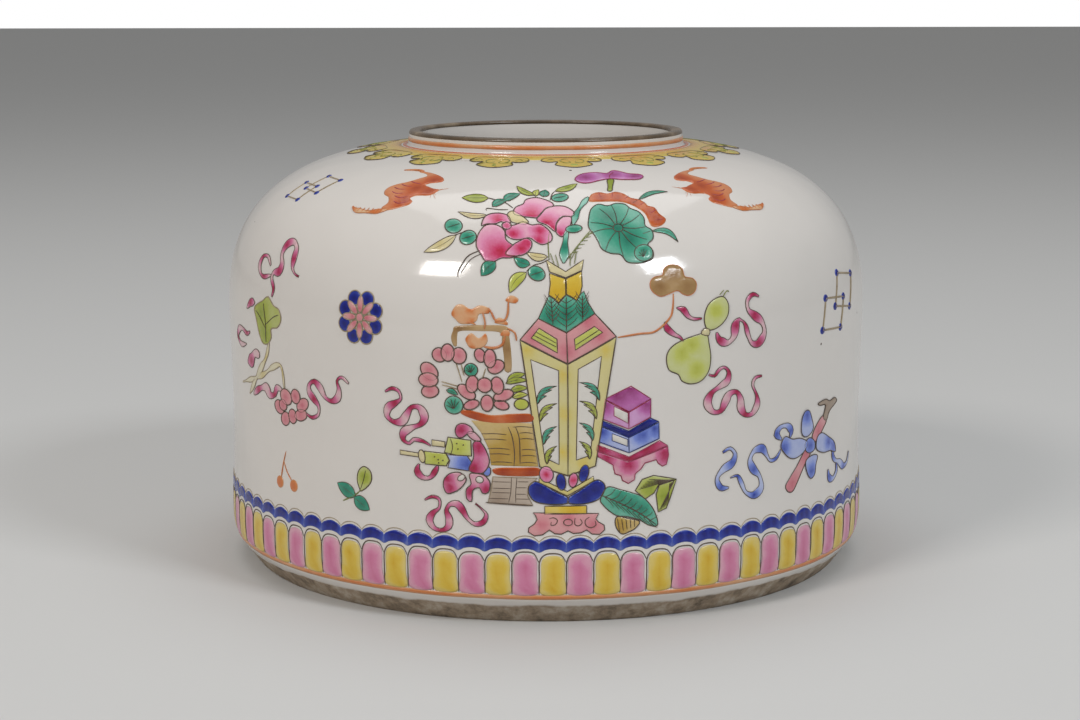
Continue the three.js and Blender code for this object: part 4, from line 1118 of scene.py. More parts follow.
def build_right_group(angle, suffix, flip=1):
    """Gourd, ruyi sceptre, book boxes and leaves beside the vase."""
    ruyi = Motif(f"ruyi{suffix}", angle, flip)
    ruyi.fill("bronze", [(-3.2, 62.4), (-3.1, 63.6), (-2.2, 64.4), (-0.6, 64.7), (-0.3, 65.7), (0.7, 66.4),
                         (2.3, 66.4),
                         (3.4, 65.6), (3.7, 64.2), (5.2, 63.8), (5.9, 62.8), (5.5, 61.4), (4.3, 60.7),
                         (3.0, 61.0),
                         (2.0, 61.7), (0.6, 61.3), (-1.2, 60.8), (-2.5, 61.4)],
              core=[(-1.5, 62.6), (4.2, 62.3), (1.5, 65)], reach=2.6, tone=0.3, edge="rust", width=0.16)
    ruyi.line([(1.1, 61.2), (0.8, 58.6), (0.1, 56.8), (-2.7, 54.6), (-5.8, 54.3), (-9.7, 53.8)], 0.42,
              "rust", 0)
    ruyi.build({"bronze": (f"ruyi_sceptre{suffix}",) if not suffix else ()})

    gourd = Motif(f"gourd{suffix}", angle, flip)
    gourd.fill("lemon", [(3, 52.8), (0.9, 51.9), (-0.3, 50.6), (-0.5, 49), (0.1, 47.3), (1.9, 46.4),
                         (2.6, 45.2),
                         (4.4, 44.5), (6.6, 44.9), (8.1, 46.6), (8.5, 49.0), (8.1, 51.6), (7.5, 53.6),
                         (5.3, 53.4)],
               core=[(2.4, 50.2), (4.6, 51.8), (5.6, 47)], reach=2.6, tone=0.12, edge="line", width=0.2)
    gourd.fill("lemon", [(7.6, 54.4), (7.1, 56.4), (7.9, 58.6), (9.6, 59.8), (11.4, 60), (12.4, 58.6),
                         (12.2, 56.6),
                         (10.8, 55.0), (9.0, 54.2)], core=[(9.6, 57.6)], reach=2.2, tone=0.12, edge="line",
               width=0.2)
    gourd.fill("cream", [(6.4, 53.6), (7.0, 54.5), (8.1, 54.3), (8.0, 53.2)], level=1, edge="line", rim=0.1)
    gourd.line([(11.2, 59.9), (12.2, 61.0), (12.7, 60.8)], 0.24, "moss", 1)
    gourd.line([(10.6, 60.4), (11.6, 61.2)], 0.2, "moss", 1)
    gourd.build({"lemon": (f"gourd{suffix}",)})

    ribbons = Motif(f"gourd_ribbons{suffix}", angle, flip)
    for path, width in (
            ([(9.7, 53.6), (10.3, 52.2), (12.1, 51.5), (13.5, 52.6), (13.9, 54.6), (14.8, 55.6),
              (15.6, 55.0)], 1.4),
            ([(19.6, 59.4), (18.2, 59.9), (16.8, 58.9), (16.9, 57.2), (18.4, 56.0), (20.2, 54.6),
              (20.8, 52.6),
              (19.4, 50.8), (17.8, 50.9), (16.8, 52.6), (16.2, 54.4), (15.4, 55.4)], 1.25),
            ([(8.2, 45.9), (9.4, 45.6), (10.3, 46.6), (11.5, 47), (12.5, 46), (12.2, 44.4), (10.6, 43.5),
              (8.8, 42.4),
              (8.0, 40.6), (9.2, 38.9), (10.9, 38.9), (11.8, 40.4), (12.8, 41.9), (14.4, 42.1), (15.3, 40.7),
              (15.5, 39.0), (16.6, 37.6), (18.2, 37.6), (19.4, 39.2), (19.2, 41.0), (18.2, 43), (18.8, 44.3),
              (20.4, 44.5)], 1.3),
            ([(1.6, 58.6), (2.9, 58.2), (3.8, 57.0), (5.0, 56.4), (6.6, 56.4)], 0.9),
            ([(-0.8, 56.2), (-0.4, 55.0), (0.9, 53.9), (2.2, 53.2), (2.8, 52.4)], 0.9)):
        ribbons.ribbon(path, width)
    ribbons.build({"magenta": ("gourd_ribbon_upper", "gourd_ribbon_lower") if not suffix else ()})

    upper = Motif(f"upper_book_box{suffix}", angle, flip)
    upper.fill("purple", [(-12, 42.6), (-7.2, 44.8), (-3.4, 42.3), (-7.5, 40.1)],
               core=[(-9.6, 43.2), (-7.2, 44.4)],
               reach=2.6, tone=0.45, edge="wine", corners=True)
    upper.fill("purple", [(-12, 42.4), (-7.5, 40.0), (-7.5, 36.9), (-12.3, 38.9)], core=[(-12, 41.6)],
               reach=3.0,
               tone=0.12, edge="wine", corners=True)
    upper.fill("purple", [(-7.5, 40.0), (-3.4, 42.2), (-3.4, 38.9), (-7.5, 36.9)], core=[(-4, 41.0)],
               reach=2.6,
               tone=0.12, edge="wine", corners=True)
    upper.fill("white", [(-10.3, 41.2), (-7.7, 39.9), (-7.7, 38.0), (-10.3, 39.5)], level=1, edge="wine",
               corners=True,
               rim=0.1)
    upper.build({"purple": (f"upper_book_box{suffix}",)})

    lower = Motif(f"lower_book_box{suffix}", angle, flip)
    lower.fill("blue", [(-12.4, 38.6), (-7.5, 36.5), (-3.4, 38.7), (-1.8, 38.0), (-7.5, 35.4), (-12.4, 37.7)],
               core=[(-7.5, 36.2), (-10, 37.2), (-5, 37.2)], reach=3.0, tone=0.5, edge="navy", corners=True)
    lower.fill("sky", [(-12.5, 37.5), (-7.5, 35.3), (-7.4, 32.5), (-12.9, 34.7)], core=[(-12.4, 36.6)],
               reach=3.0,
               tone=0.1, edge="navy", corners=True)
    lower.fill("sky", [(-7.5, 35.3), (-1.8, 37.8), (-1.7, 34.8), (-7.4, 32.5)],
               core=[(-2.6, 36.6), (-5, 35.6)],
               reach=2.6, tone=0.15, edge="navy", corners=True)
    lower.fill("white", [(-10.6, 36.2), (-7.7, 35.0), (-7.7, 33.7), (-10.6, 34.9)], level=1, edge="navy",
               corners=True,
               rim=0.1)
    lower.build({"blue": (f"lower_book_box{suffix}",)})

    stand = Motif(f"box_stand{suffix}", angle, flip)
    stand.fill("magenta", [(-13.3, 34.2), (-7.4, 31.7), (-1.6, 34.4), (0, 33.4), (-7.4, 30.9), (-13.5, 33.2)],
               core=[(-13, 33.6), (-4, 33.2), (-7.5, 31.3)], reach=3.0, tone=0.55, edge="wine", corners=True,
               rim=0.14)
    stand.fill("magenta", [(-13.4, 33.0), (-7.4, 30.8), (0, 33.2), (0.2, 31.6), (-0.2, 29.9), (-1.0, 29.6),
                           (-1.8, 30.2),
                           (-2.2, 30.9), (-4.4, 30.4), (-5.1, 29.4), (-6.2, 28.5), (-6.4, 27.4), (-7.5, 26.8),
                           (-8.6, 27.4), (-8.9, 28.3), (-10, 28.7), (-10.4, 30.4), (-13.1, 32)],
               core=[(-7.5, 30.2), (-0.6, 31.8), (-11.4, 31.8)], reach=2.6, tone=0.1, edge="wine",
               corners=True)
    stand.build({"magenta": (f"box_stand{suffix}",)})

    leaves = Motif(f"plantain{suffix}", angle, flip)
    leaves.fill("teal", [(-12.7, 24.1), (-11.4, 26.3), (-8.9, 25.7), (-7.0, 25.1), (-4.9, 24.2), (-3.1, 22.3),
                         (-2.1, 20.2), (-2.0, 18.6), (-3.6, 18.8), (-5.4, 19.9), (-7.6, 20.6), (-9.6, 20.9),
                         (-11, 21.8), (-12.2, 23.0)],
                core=[(-9, 24), (-5, 21.8), (-7, 23)], reach=2.4, tone=0.3, edge="line", grid=0.9)
    leaves.line([(-12.6, 24.9), (-9.2, 23.3), (-5.6, 21.3), (-2.2, 18.8)], 0.22, "line", 3)
    for i in range(9):
        t = 0.06 + 0.1 * i
        x, h = -12.6 + 10.4 * t, 24.9 - 6.1 * t
        leaves.line([(x, h), (x + 1.3, h + 0.5), (x + 2.2 - 0.6 * t, h + 1.7 - 0.9 * t)], 0.14, "line", 3,
                    taper=0.4)
        leaves.line([(x, h), (x + 1.2, h - 1.2), (x + 1.7, h - 2.1 + 0.9 * t)], 0.14, "line", 3, taper=0.4)
    leaves.fill("leaf", [(-6.2, 25.4), (-4.9, 27.4), (-2.7, 28), (1.8, 27.0), (-1.7, 26.2), (-2.6, 24.7),
                         (-4.3, 23.7)],
                core=[(-3.5, 25.6)], reach=2.4, tone=0.2, edge="line", corners=True)
    leaves.fill("leaf", [(1.8, 26.9), (0.6, 23.6), (-0.2, 21.7), (-1.8, 21.1), (-2.2, 24.4), (-1.6, 26.1)],
                core=[(-0.6, 24)], reach=2.2, tone=0.35, edge="line", corners=True)
    for i in range(6):
        leaves.line([(1.4 - 0.2 * i, 26.8 - 0.1 * i), (-1.6 + 0.35 * i, 21.4 + 0.2 * i)], 0.13, "line", 3)
        leaves.line([(1.2 - 0.3 * i, 27.0), (-5.6 + 0.4 * i, 25.6 + 0.35 * i)], 0.13, "line", 3)
    leaves.fill("mustard", [(-9.7, 20.7), (-9.9, 19), (-8.8, 17.5), (-7.2, 17.9), (-6.2, 18.4), (-5.4, 19.6),
                            (-7.6, 20.3)], core=[(-9, 19)], reach=2, tone=0.2, edge="line")
    for i in range(5):
        leaves.line([(-9.6 + 0.8 * i, 20.4 - 0.1 * i), (-9.2 + 0.7 * i, 17.9 + 0.2 * i)], 0.14, "line", 3)
    leaves.build({"teal": ("plantain_leaf", "folded_leaf") if not suffix else ()})


def build_left_group(angle, suffix, flip=1):
    """Altar table, lotus spray, books and scrolls on the other side of the vase."""
    table = Motif(f"altar_table{suffix}", angle, flip)
    table.fill("bronze", [(-1.0, 55.0), (-1.4, 53.6), (-0.9, 52.2), (-0.3, 52.2), (-0.2, 54.2), (0.4, 54.9),
                          (4, 55.0),
                          (7.6, 54.8), (8.0, 53.0), (8.4, 49.6), (8.5, 47.8), (9.6, 47.8), (9.7, 50.6),
                          (9.2, 54.8),
                          (8.6, 56.0), (4.6, 56.1), (0.6, 55.9), (-0.8, 55.6)], core=[(9, 52), (0.2, 55.4)],
               reach=3.4, tone=0.15, rim=0.25, pale=0.3)
    for outline in (
            [(-1.4, 57.9), (-0.6, 59.4), (0.6, 59.7), (2.2, 58.9), (3.8, 59.6), (5.4, 59.2), (5.6, 58.2),
             (3.8, 58.0),
             (3.4, 56.9), (2.4, 56.3), (0.4, 56.2), (-0.6, 57.0)],
            [(6.6, 56.6), (7.4, 57.5), (8.8, 56.9), (9.0, 56.2), (7.8, 56.3)],
            [(1.3, 53.6), (2.4, 54.6), (3.8, 53.7), (5.0, 54.6), (5.4, 53.2), (4.4, 52.0), (2.4, 51.8),
             (1.6, 52.6)],
            [(7.7, 54.3), (8.2, 55.4), (9.3, 55.3), (9.3, 54.2)],
            [(8.4, 60.6), (9.4, 61.5), (10.8, 60.9), (10.4, 60.1), (9.2, 60.2)]):
        table.fill("orange", outline, core=outline[::3], reach=1.1, tone=0.15, level=1, pale=0.2, grid=0.8)
    for path, width in (([(5.4, 59.2), (6.1, 58.2), (6.8, 57.0), (8.4, 57.0), (9.0, 58.4), (9.0, 60.4)],
                         0.42),
                        ([(4.4, 58.4), (4.9, 56.6), (4.8, 55.4)], 0.36),
                        ([(9.0, 55.6), (10.3, 54.8), (10.6, 53.4)], 0.34),
                        ([(4.8, 52.2), (6.4, 52.0), (8.0, 52.6), (8.6, 54.2)], 0.5),
                        ([(1.6, 56.6), (3.2, 56.2)], 0.3)):
        table.line(path, width, "rust", 2)
    table.build({"bronze": ("altar_table",) if not suffix else ()})

    lotus = Motif(f"lotus_spray{suffix}", angle, flip)
    for path in ([(0.6, 45.6), (0.0, 47.6), (-0.6, 49.4)], [(4.3, 46.0), (5.0, 48.2)],
                 [(-3.2, 44.9), (-1.2, 44.5), (0.6, 43.9)],
                 [(-3.3, 45.5), (0.6, 44.6)], [(1.0, 46.8), (0.5, 48.8)]):
        lotus.line(path, 0.24, "soft", 0)
    for cx, ch, rx, rh, tilt, level in (
            (-3.6, 50.4, 1.4, 1.3, -10, 0), (0.1, 50.4, 1.4, 1.5, 0, 0), (-2.0, 50.9, 1.25, 1.6, 0, 1),
            (4.0, 50.6, 1.0, 1.3, 20, 0), (6.9, 48.6, 1.6, 1.2, 30, 0), (5.8, 50.1, 1.1, 1.7, 0, 1),
            (-5.6, 47.3, 1.9, 1.4, -40, 0), (-5.5, 43.6, 1.7, 1.2, 10, 0), (-5.8, 45.7, 1.9, 1.3, 0, 1),
            (1.4, 43.8, 1.9, 1.1, -35, 0), (2.3, 41.5, 1.5, 0.85, 20, 0), (8.2, 43.4, 1.9, 1.0, 20, 0),
            (7.8, 41.6, 1.4, 0.85, -15, 0), (2.5, 45.3, 1.15, 1.6, -10, 1), (7.1, 45.2, 1.15, 1.6, 10, 1),
            (4.8, 45.2, 1.35, 1.35, 0, 2), (5.2, 41.9, 1.15, 1.5, 0, 2)):
        lotus.fill("rose", ellipse(cx, ch, rx, rh, tilt), core=(cx, ch + 0.2), reach=1.8, tone=0.1,
                   level=level,
                   edge="line", rim=0.22, grid=0.8, pale=0.4, width=0.24)
    for cx, ch, r in ((2.3, 47.9, 1.25), (-1.0, 41.3, 1.75)):
        lotus.fill("teal", ellipse(cx, ch, r, r * 0.95), core=(cx, ch), reach=1.6, tone=0.25, edge="line",
                   grid=0.8)
        for k in range(5):
            a = math.radians(40 + 36 * k)
            lotus.line([(cx, ch - r * 0.4), (cx + r * 0.8 * math.cos(a), ch + r * 0.7 * math.sin(a))], 0.13,
                       "line", 3)
    for base, tip, width, finish in (((8.8, 46.0), (12.2, 47.4), 1.3, "leaf"),
                                     ((8.6, 45.6), (12.6, 46.2), 1.1, "leaf"),
                                     ((9.4, 44.2), (12.6, 44.8), 1.2, "leaf"),
                                     ((9.8, 43.0), (12.6, 43.6), 1.1, "lemon"),
                                     ((-2.4, 44.0), (-0.2, 43.2), 1.0, "teal")):
        lotus.leaf(finish, base, tip, width, 0.08)
    lotus.fill("lemon", ellipse(11.4, 41.8, 1.3, 1.0), core=(11.4, 41.8), reach=1.4, tone=0.6, edge="line",
               grid=0.8)
    lotus.build({"rose": ("lotus_bloom", "side_lotus") if not suffix else ()})

    books = Motif(f"book_stack{suffix}", angle, flip)
    books.fill("mustard", [(2.2, 38.6), (13.3, 38.3), (14.4, 30.3), (5.8, 30.4), (5.4, 33.4), (4.0, 36.4)],
               core=[(7, 32), (11, 32), (10, 34)], reach=4.5, tone=0.15, corners=True, pale=0.6)
    books.fill("iron", [(0.3, 39.8), (1.1, 40.6), (3.4, 40.2), (6, 39.7), (9.6, 40.0), (13.2, 40.0),
                        (13.5, 38.7),
                        (10.4, 38.4), (6.4, 38.2), (2.8, 38.8)], core=[(3, 39.4), (12, 39.4)], reach=5.0,
               tone=0.3,
               level=1, pale=0.2)
    books.fill("iron", [(6.0, 29.6), (7.4, 30.0), (10.8, 30.1), (14.4, 30.1), (14.8, 29.2), (14.2, 28.6),
                        (10, 28.5),
                        (6.8, 28.7)], core=[(8, 29.3), (13, 29.3)], reach=5.0, tone=0.35, level=1, pale=0.2)
    books.fill("tan", [(6.1, 28.3), (14.2, 28.2), (12.6, 26.6), (12.4, 25.0), (13.4, 23.2), (5.2, 23.4),
                       (5.8, 26)],
               core=[(7, 24)], reach=4.0, tone=0.15, corners=True, pale=0.6, edge="soft", width=0.16)
    for x0, x1, h in ((4.1, 8.7, 36.2), (4.5, 8.7, 35.2), (5.2, 9.2, 33.5), (5.5, 9.3, 32.5),
                      (5.8, 9.7, 31.0),
                      (11.0, 13.4, 36.5), (11.0, 13.6, 35.4), (11.3, 13.9, 33.4), (11.3, 14.0, 32.3),
                      (11.2, 14.1, 31.0), (9.8, 13.3, 37.6)):
        books.line([(x0, h), ((x0 + x1) / 2, h + 0.12), (x1, h - 0.03)], 0.17, "line", 2)
    books.line([(9.0, 37.6), (9.7, 35.8), (10.1, 33.0), (10.0, 30.4)], 0.2, "line", 2)
    books.line([(10.3, 37.7), (11.0, 35.4), (11.1, 30.8)], 0.2, "line", 2)
    for x0, x1, h in ((6.0, 9.4, 27.4), (6.0, 9.4, 26.2), (5.9, 9.4, 25.4), (5.4, 9.0, 24.3),
                      (10.6, 12.6, 27.5),
                      (10.4, 12.3, 26.4), (10.3, 12.2, 25.2), (10.2, 12.8, 24.3)):
        books.line([(x0, h), (x1, h)], 0.15, "line", 2)
    books.line([(10.5, 28.2), (10.3, 25.6), (10.3, 23.6)], 0.16, "line", 2)
    books.line([(9.5, 28.2), (9.4, 25.6), (9.0, 23.6)], 0.16, "line", 2)
    books.line([(4.8, 23.5), (9, 23.3), (13.4, 23.1)], 0.24, "line", 2)
    books.build({"mustard": (f"book_stack{suffix}",)})

    scrolls = Motif(f"scrolls{suffix}", angle, flip)
    scrolls.fill("cream", [(-5.3, 33.5), (-5.3, 34.6), (-2.8, 34.4), (-2.8, 33.4)], edge="line",
                 corners=True, rim=0.12)
    scrolls.fill("lemon", [(-2.9, 32.4), (-2.2, 35.3), (2.1, 34.9), (2.2, 32.0), (-0.6, 32.0)],
                 core=(-0.2, 33.4),
                 reach=2.5, tone=0.2, edge="line", corners=True)
    scrolls.fill("cream", [(-11.7, 31.4), (-11.7, 32.2), (-7.6, 31.9), (-7.6, 31.2)], edge="line",
                 corners=True, rim=0.12)
    scrolls.fill("cream", ellipse(-7.3, 31.4, 0.65, 1.2, 10), level=1, edge="line", rim=0.14)
    scrolls.fill("lemon", [(-6.7, 30.0), (-6.8, 32.4), (-2.6, 32.2), (-2.0, 31.0), (-2.6, 29.9)],
                 core=(-4.4, 31.2),
                 reach=2.5, tone=0.35, edge="line", corners=True)
    scrolls.fill("sky", [(-2.3, 29.6), (-1.9, 30.9), (-2.4, 32.0), (1.4, 32.0), (2.4, 30.6), (1.6, 29.2)],
                 core=(1.2, 30.6), reach=3.0, tone=0.1, edge="line", corners=True)
    scrolls.fill("sky", [(4.4, 28.9), (5.5, 30.1), (5.7, 28.9), (5.1, 28.4)], edge="line", level=1, rim=0.12)
    scrolls.fill("magenta", [(2.5, 34.3), (3.6, 34.9), (4.8, 33.4), (5.5, 31.0), (4.4, 29.0), (2.2, 29.0),
                             (1.7, 29.8),
                             (2.6, 31.8)], core=[(3.4, 33.6), (2.6, 29.8)], reach=2.4, tone=0.25, level=1,
                 edge="line")
    for outline, cores in (
            ([(-0.8, 36.4), (-0.4, 37.6), (0.8, 38.0), (2.2, 37.4), (2.6, 36.4), (1.4, 36.0), (0.6, 35.4),
              (-0.3, 35.4)],
             [(0.3, 36.8)]),
            ([(1.4, 36.2), (2.6, 36.6), (4.0, 35.2), (3.6, 34.8), (2.4, 35.1)], None),
            ([(-3.0, 27.4), (-1.8, 28.6), (0.1, 28.8), (1.2, 27.6), (0.2, 26.0), (-1.0, 25.2), (-2.4, 24.8),
              (-3.1, 25.9)], [(-1.8, 25.9), (-2.4, 27.6)]),
            ([(1.8, 28.6), (3.2, 28.8), (4.6, 28.5), (5.6, 27.2), (5.3, 25.4), (4.2, 25.2), (3.6, 26.2),
              (2.4, 25.6),
              (2.2, 23.6), (1.3, 24.0), (1.2, 25.8), (2.1, 26.8)], [(4.9, 26.0), (2.0, 25.4)])):
        scrolls.fill("magenta", outline, core=cores, reach=1.9, tone=0.15, level=2, edge="line", grid=0.8)
    scrolls.fill("white", ellipse(0.3, 27.9, 0.75, 0.5, 35), level=3, edge="line", rim=0.1)
    scrolls.fill("white", ellipse(3.7, 27.7, 0.7, 0.6, -10), level=3, edge="line", rim=0.1)
    for x, h in ((-0.3, 33.2), (-0.5, 34.2), (0.7, 34.0), (-4.1, 31.0), (-4.8, 31.5), (-3.2, 30.9),
                 (-4.0, 30.4)):
        scrolls.line([(x - 0.12, h), (x + 0.12, h)], 0.3, "line", 3)
    scrolls.line([(-1.7, 35.1), (-1.3, 33.6), (-1.6, 32.3)], 0.15, "line", 3)
    for path, width in (
            ([(-14.6, 42.9), (-13.2, 43.6), (-11.8, 43.2), (-11.4, 41.8), (-12.6, 40.9), (-14.0, 40.0),
              (-14.3, 38.4),
              (-13, 37.4), (-11.2, 37.6), (-10.2, 39.0), (-9.2, 40.4), (-7.6, 40.4), (-6.7, 38.8),
              (-7.4, 37.4),
              (-9.2, 36.6), (-10.9, 35.6), (-11, 34.2), (-9.8, 33.6), (-8.9, 34.4), (-7, 34.2),
              (-5.6, 33.5)], 1.25),
            ([(-6.8, 23.3), (-5.4, 24.0), (-4.0, 23.6), (-4.0, 22.0), (-5.2, 21.0), (-5.9, 19.6),
              (-5.0, 18.2),
              (-3.4, 17.9), (-2.2, 18.7), (-2.1, 20.2), (-2.6, 21.6), (-1.9, 22.8), (-0.5, 22.9), (0.5, 21.8),
              (1.4, 20.4), (2.8, 19.4), (4.3, 19.8), (4.9, 21.2), (4.0, 22.3), (2.9, 23.2)], 1.05),
            ([(-7.9, 29.9), (-8.3, 28.6), (-7.3, 27.5), (-5.8, 27.5), (-4.8, 28.7), (-4.2, 29.8)], 1.1)):
        scrolls.ribbon(path, width)
    scrolls.build({"magenta": (f"scroll_bundle{suffix}",) + (() if suffix else ("scroll_ribbon",))})


def build_rosette(angle, suffix):
    """An eight-petalled wheel of blue and pink."""
    m = Motif(f"rosette{suffix}", angle)
    cx, ch = 0.0, 56.2
    for k in range(8):
        a = math.radians(22.5 + 45 * k)
        m.fill("blue", ellipse(cx + 3.75 * math.cos(a), ch + 3.75 * math.sin(a), 1.35, 1.45, 22.5 + 45 * k),
               core=(cx + 3.75 * math.cos(a), ch + 3.75 * math.sin(a)), reach=1.7, tone=0.4, edge="soft",
               pale=0.2,
               rim=0.24, grid=0.8, width=0.24)
    for k in range(8):
        a = math.radians(45 * k)
        m.fill("rose", ellipse(cx + 2.4 * math.cos(a), ch + 2.4 * math.sin(a), 1.5, 0.62, 45 * k),
               core=(cx + 1.6 * math.cos(a), ch + 1.6 * math.sin(a)), reach=1.5, tone=0.05, level=1,
               edge="soft",
               rim=0.16, grid=0.8, pale=0.2, width=0.2)
    m.fill("rose", ellipse(cx, ch, 0.75, 0.75), level=2, edge="soft", rim=0.14, grid=0.8, width=0.2)
    m.build({"blue": ("rosette",)} if not suffix else None)


BAT_OUTLINE = [
    (1.8, 91.4), (4.4, 90.9), (6.8, 89.9), (8.7, 88.6), (9.3, 87.3), (8.2, 86.7), (7.2, 86.4), (6.7, 85.7),
               (7.8, 85.2),
    (9.2, 84.6), (10.4, 84.4), (10.3, 83.2), (9.4, 82.3), (7.8, 82.2), (6.6, 81.9), (6.2, 81.2), (7.2, 80.4),
               (7.0, 79.4),
    (5.8, 78.7), (4.4, 78.0), (3.0, 77.6), (1.6, 78.2), (2.2, 79.6), (1.3, 81.2), (0.0, 81.8), (-0.8, 83.0),
    (-0.6, 84.4), (0.6, 85.6), (2.2, 86.6), (3.6, 88.0), (4.6, 89.3), (3.6, 90.3), (2.0, 90.8)]


def build_bats():
    """Four iron-red bats flying over the shoulder."""
    for name, angle, flip in (("bat_left", -35.0, 1), ("bat_right", 42.0, -1), ("bat_left_back", 145.0, 1),
                              ("bat_right_back", 222.0, -1)):
        m = Motif(name, angle, flip)
        m.fill("iron", BAT_OUTLINE, core=[(7.6, 87.6), (8.6, 83.6), (5.6, 84.4), (5.4, 80.6)], reach=3.4,
               tone=0.18,
               grid=0.8, pale=0.25, rim=0.25)
        m.line([(2.6, 91.3), (0.4, 91.6), (-2.2, 91.3)], 0.7, "rust", 0, taper=0.6)
        m.ribbon([(3.2, 77.8), (0.8, 77.1), (-1.8, 76.9), (-4.2, 77.2), (-5.2, 77.9)], 0.95, "orange", "rust")
        for i in range(7):
            m.line([(2.2 - 1.05 * i, 77.9 - 0.02 * i), (1.9 - 1.05 * i, 76.8)], 0.2, "rust", 2)
        for i, (x, h) in enumerate(((3.0, 86.6), (1.6, 85.4), (0.8, 84.2), (1.2, 82.8), (2.6, 81.6),
                                    (3.4, 80.0))):
            m.line([(x, h), (x + 1.4, h - 0.5), (x + 2.8, h - 0.8 + 0.2 * i)], 0.24, "wine", 2, taper=0.6)
        for x, h in ((10.8, 82.6), (11.4, 81.4), (10.2, 81.6), (11.0, 84.6), (12.0, 84.9)):
            m.line([(9.4, 83.4), ((9.4 + x) / 2, (83.4 + h) / 2 + 0.1), (x, h)], 0.14, "rust", 0, taper=0.6)
        m.build({"iron": (name,)})


def build_flute(angle, suffix):
    """A flute tied with a blue ribbon."""
    m = Motif(f"flute{suffix}", angle)
    m.fill("rose", [(-10.9, 22.4), (-10.2, 21.2), (-8.8, 21.0), (-7.4, 22.4), (-5.0, 25.4), (-2.9, 27.4),
                    (-3.4, 28.4),
                    (-4.8, 28.4), (-7.4, 25.8), (-9.6, 23.8)], core=[(-9, 22.4), (-4.4, 27.4)], reach=3.4,
           tone=0.2,
           edge="line", rim=0.3, pale=0.3)
    m.fill("rose", [(-2.4, 30.4), (-0.9, 29.4), (1.6, 31.4), (3.0, 32.8), (2.2, 34.0), (0.6, 33.8),
                    (-1.6, 32.0)],
           core=[(0, 31.4)], reach=2.6, tone=0.2, edge="line", rim=0.3)
    m.fill("tan", [(1.6, 33.8), (3.0, 33.0), (4.2, 34.6), (7.4, 36.0), (6.4, 36.9), (4.2, 36.6), (2.4, 37.2),
                   (-0.6, 36.8), (0.2, 36.3), (2.4, 36.0)], core=[(3, 35)], reach=2.6, tone=0.8, level=1,
           edge="line")
    for outline, cores in (
            ([(-6.2, 32.0), (-6.2, 34.6), (-5.2, 36.0), (-3.8, 35.9), (-2.9, 34.4), (-2.2, 32.4),
              (-3.4, 31.2),
              (-5.0, 31.0)], [(-4.6, 35.0)]),
            ([(-12.0, 31.4), (-11.0, 32.0), (-9.0, 31.2), (-6.6, 31.0), (-4.2, 29.9), (-5.0, 28.4),
              (-7.4, 27.4),
              (-9.6, 27.6), (-11.4, 28.9), (-12.4, 30.2)], [(-11.4, 29.9)]),
            ([(-0.6, 30.2), (1.2, 30.8), (4.0, 29.6), (6.8, 28.0), (7.4, 26.0), (5.0, 26.6), (1.8, 26.8),
              (-0.8, 28.0)], [(4, 28.6), (6.4, 27.2)]),
            ([(-4.6, 26.2), (-4.2, 24.0), (-2.8, 22.5), (-1.4, 23.2), (-1.0, 25.0), (-0.4, 26.6),
              (-2.4, 27.0)],
             [(-2.6, 24.0)]),
            ([(-5.0, 29.8), (-3.4, 30.6), (-1.6, 29.6), (-1.6, 28.0), (-3.4, 27.6), (-4.8, 28.4)],
             [(-3.2, 29)])):
        m.fill("sky", outline, core=cores, reach=2.6, tone=0.1, level=2, edge="line", grid=0.9)
    for path in ([(-12.2, 31.6), (-13.6, 32.8), (-12.6, 34.0), (-10.6, 34.0), (-9.4, 32.8), (-9.8, 31.6)],
                 [(6.6, 27.4), (6.4, 25.4), (7.6, 24.2), (9.8, 23.4), (12.2, 22.2), (14.6, 22.6),
                  (15.8, 24.4)],
                 [(4.2, 23.0), (4.6, 21.4), (6.4, 20.8), (8.2, 22.0), (8.0, 23.6)],
                 [(-12.4, 29.6), (-13.6, 28.2), (-15.2, 28.0), (-16.2, 29.2), (-17.4, 30.6), (-19.4, 30.4),
                  (-20.4, 28.8), (-19.6, 27.0), (-18.0, 25.4), (-17.6, 23.2), (-19.4, 22.0), (-21.4, 22.8),
                  (-22.4, 24.6), (-23.4, 26.2), (-25.0, 26.0)],
                 [(-25.4, 24.2), (-27.2, 24.4), (-28.0, 26.2), (-26.6, 27.8), (-24.6, 28.8), (-24.0, 30.4),
                  (-25.2, 31.6), (-26.8, 31.0)]):
        m.ribbon(path, 1.25, "sky")
    nodes = {"rose": ("flute_back",)} if suffix else {"rose": ("flute",), "sky": ("flute_ribbon",)}
    m.build(nodes)


def build_knots(angle, height, suffix, size=1.0):
    """Two linked squares drawn in grey with dark corners."""
    m = Motif(f"linked_squares{suffix}", angle)
    def place(x, h):
        return (x * size, height + h * size)
    for square in ([(-4.4, -4.6), (-3.0, 1.4), (5.2, 0.8), (3.6, -5.0)],
                   [(1.0, -0.6), (3.2, 5.6), (11.0, 4.6), (8.8, -1.6)]):
        m.line([place(*p) for p in square], 0.42 * size, "soft", 0, closed=True, corners=True)
        for p in square:
            m.fill("blue", ellipse(*place(*p), 0.85 * size, 0.75 * size), tone=0.8, level=1, rim=0.2)
    m.build()


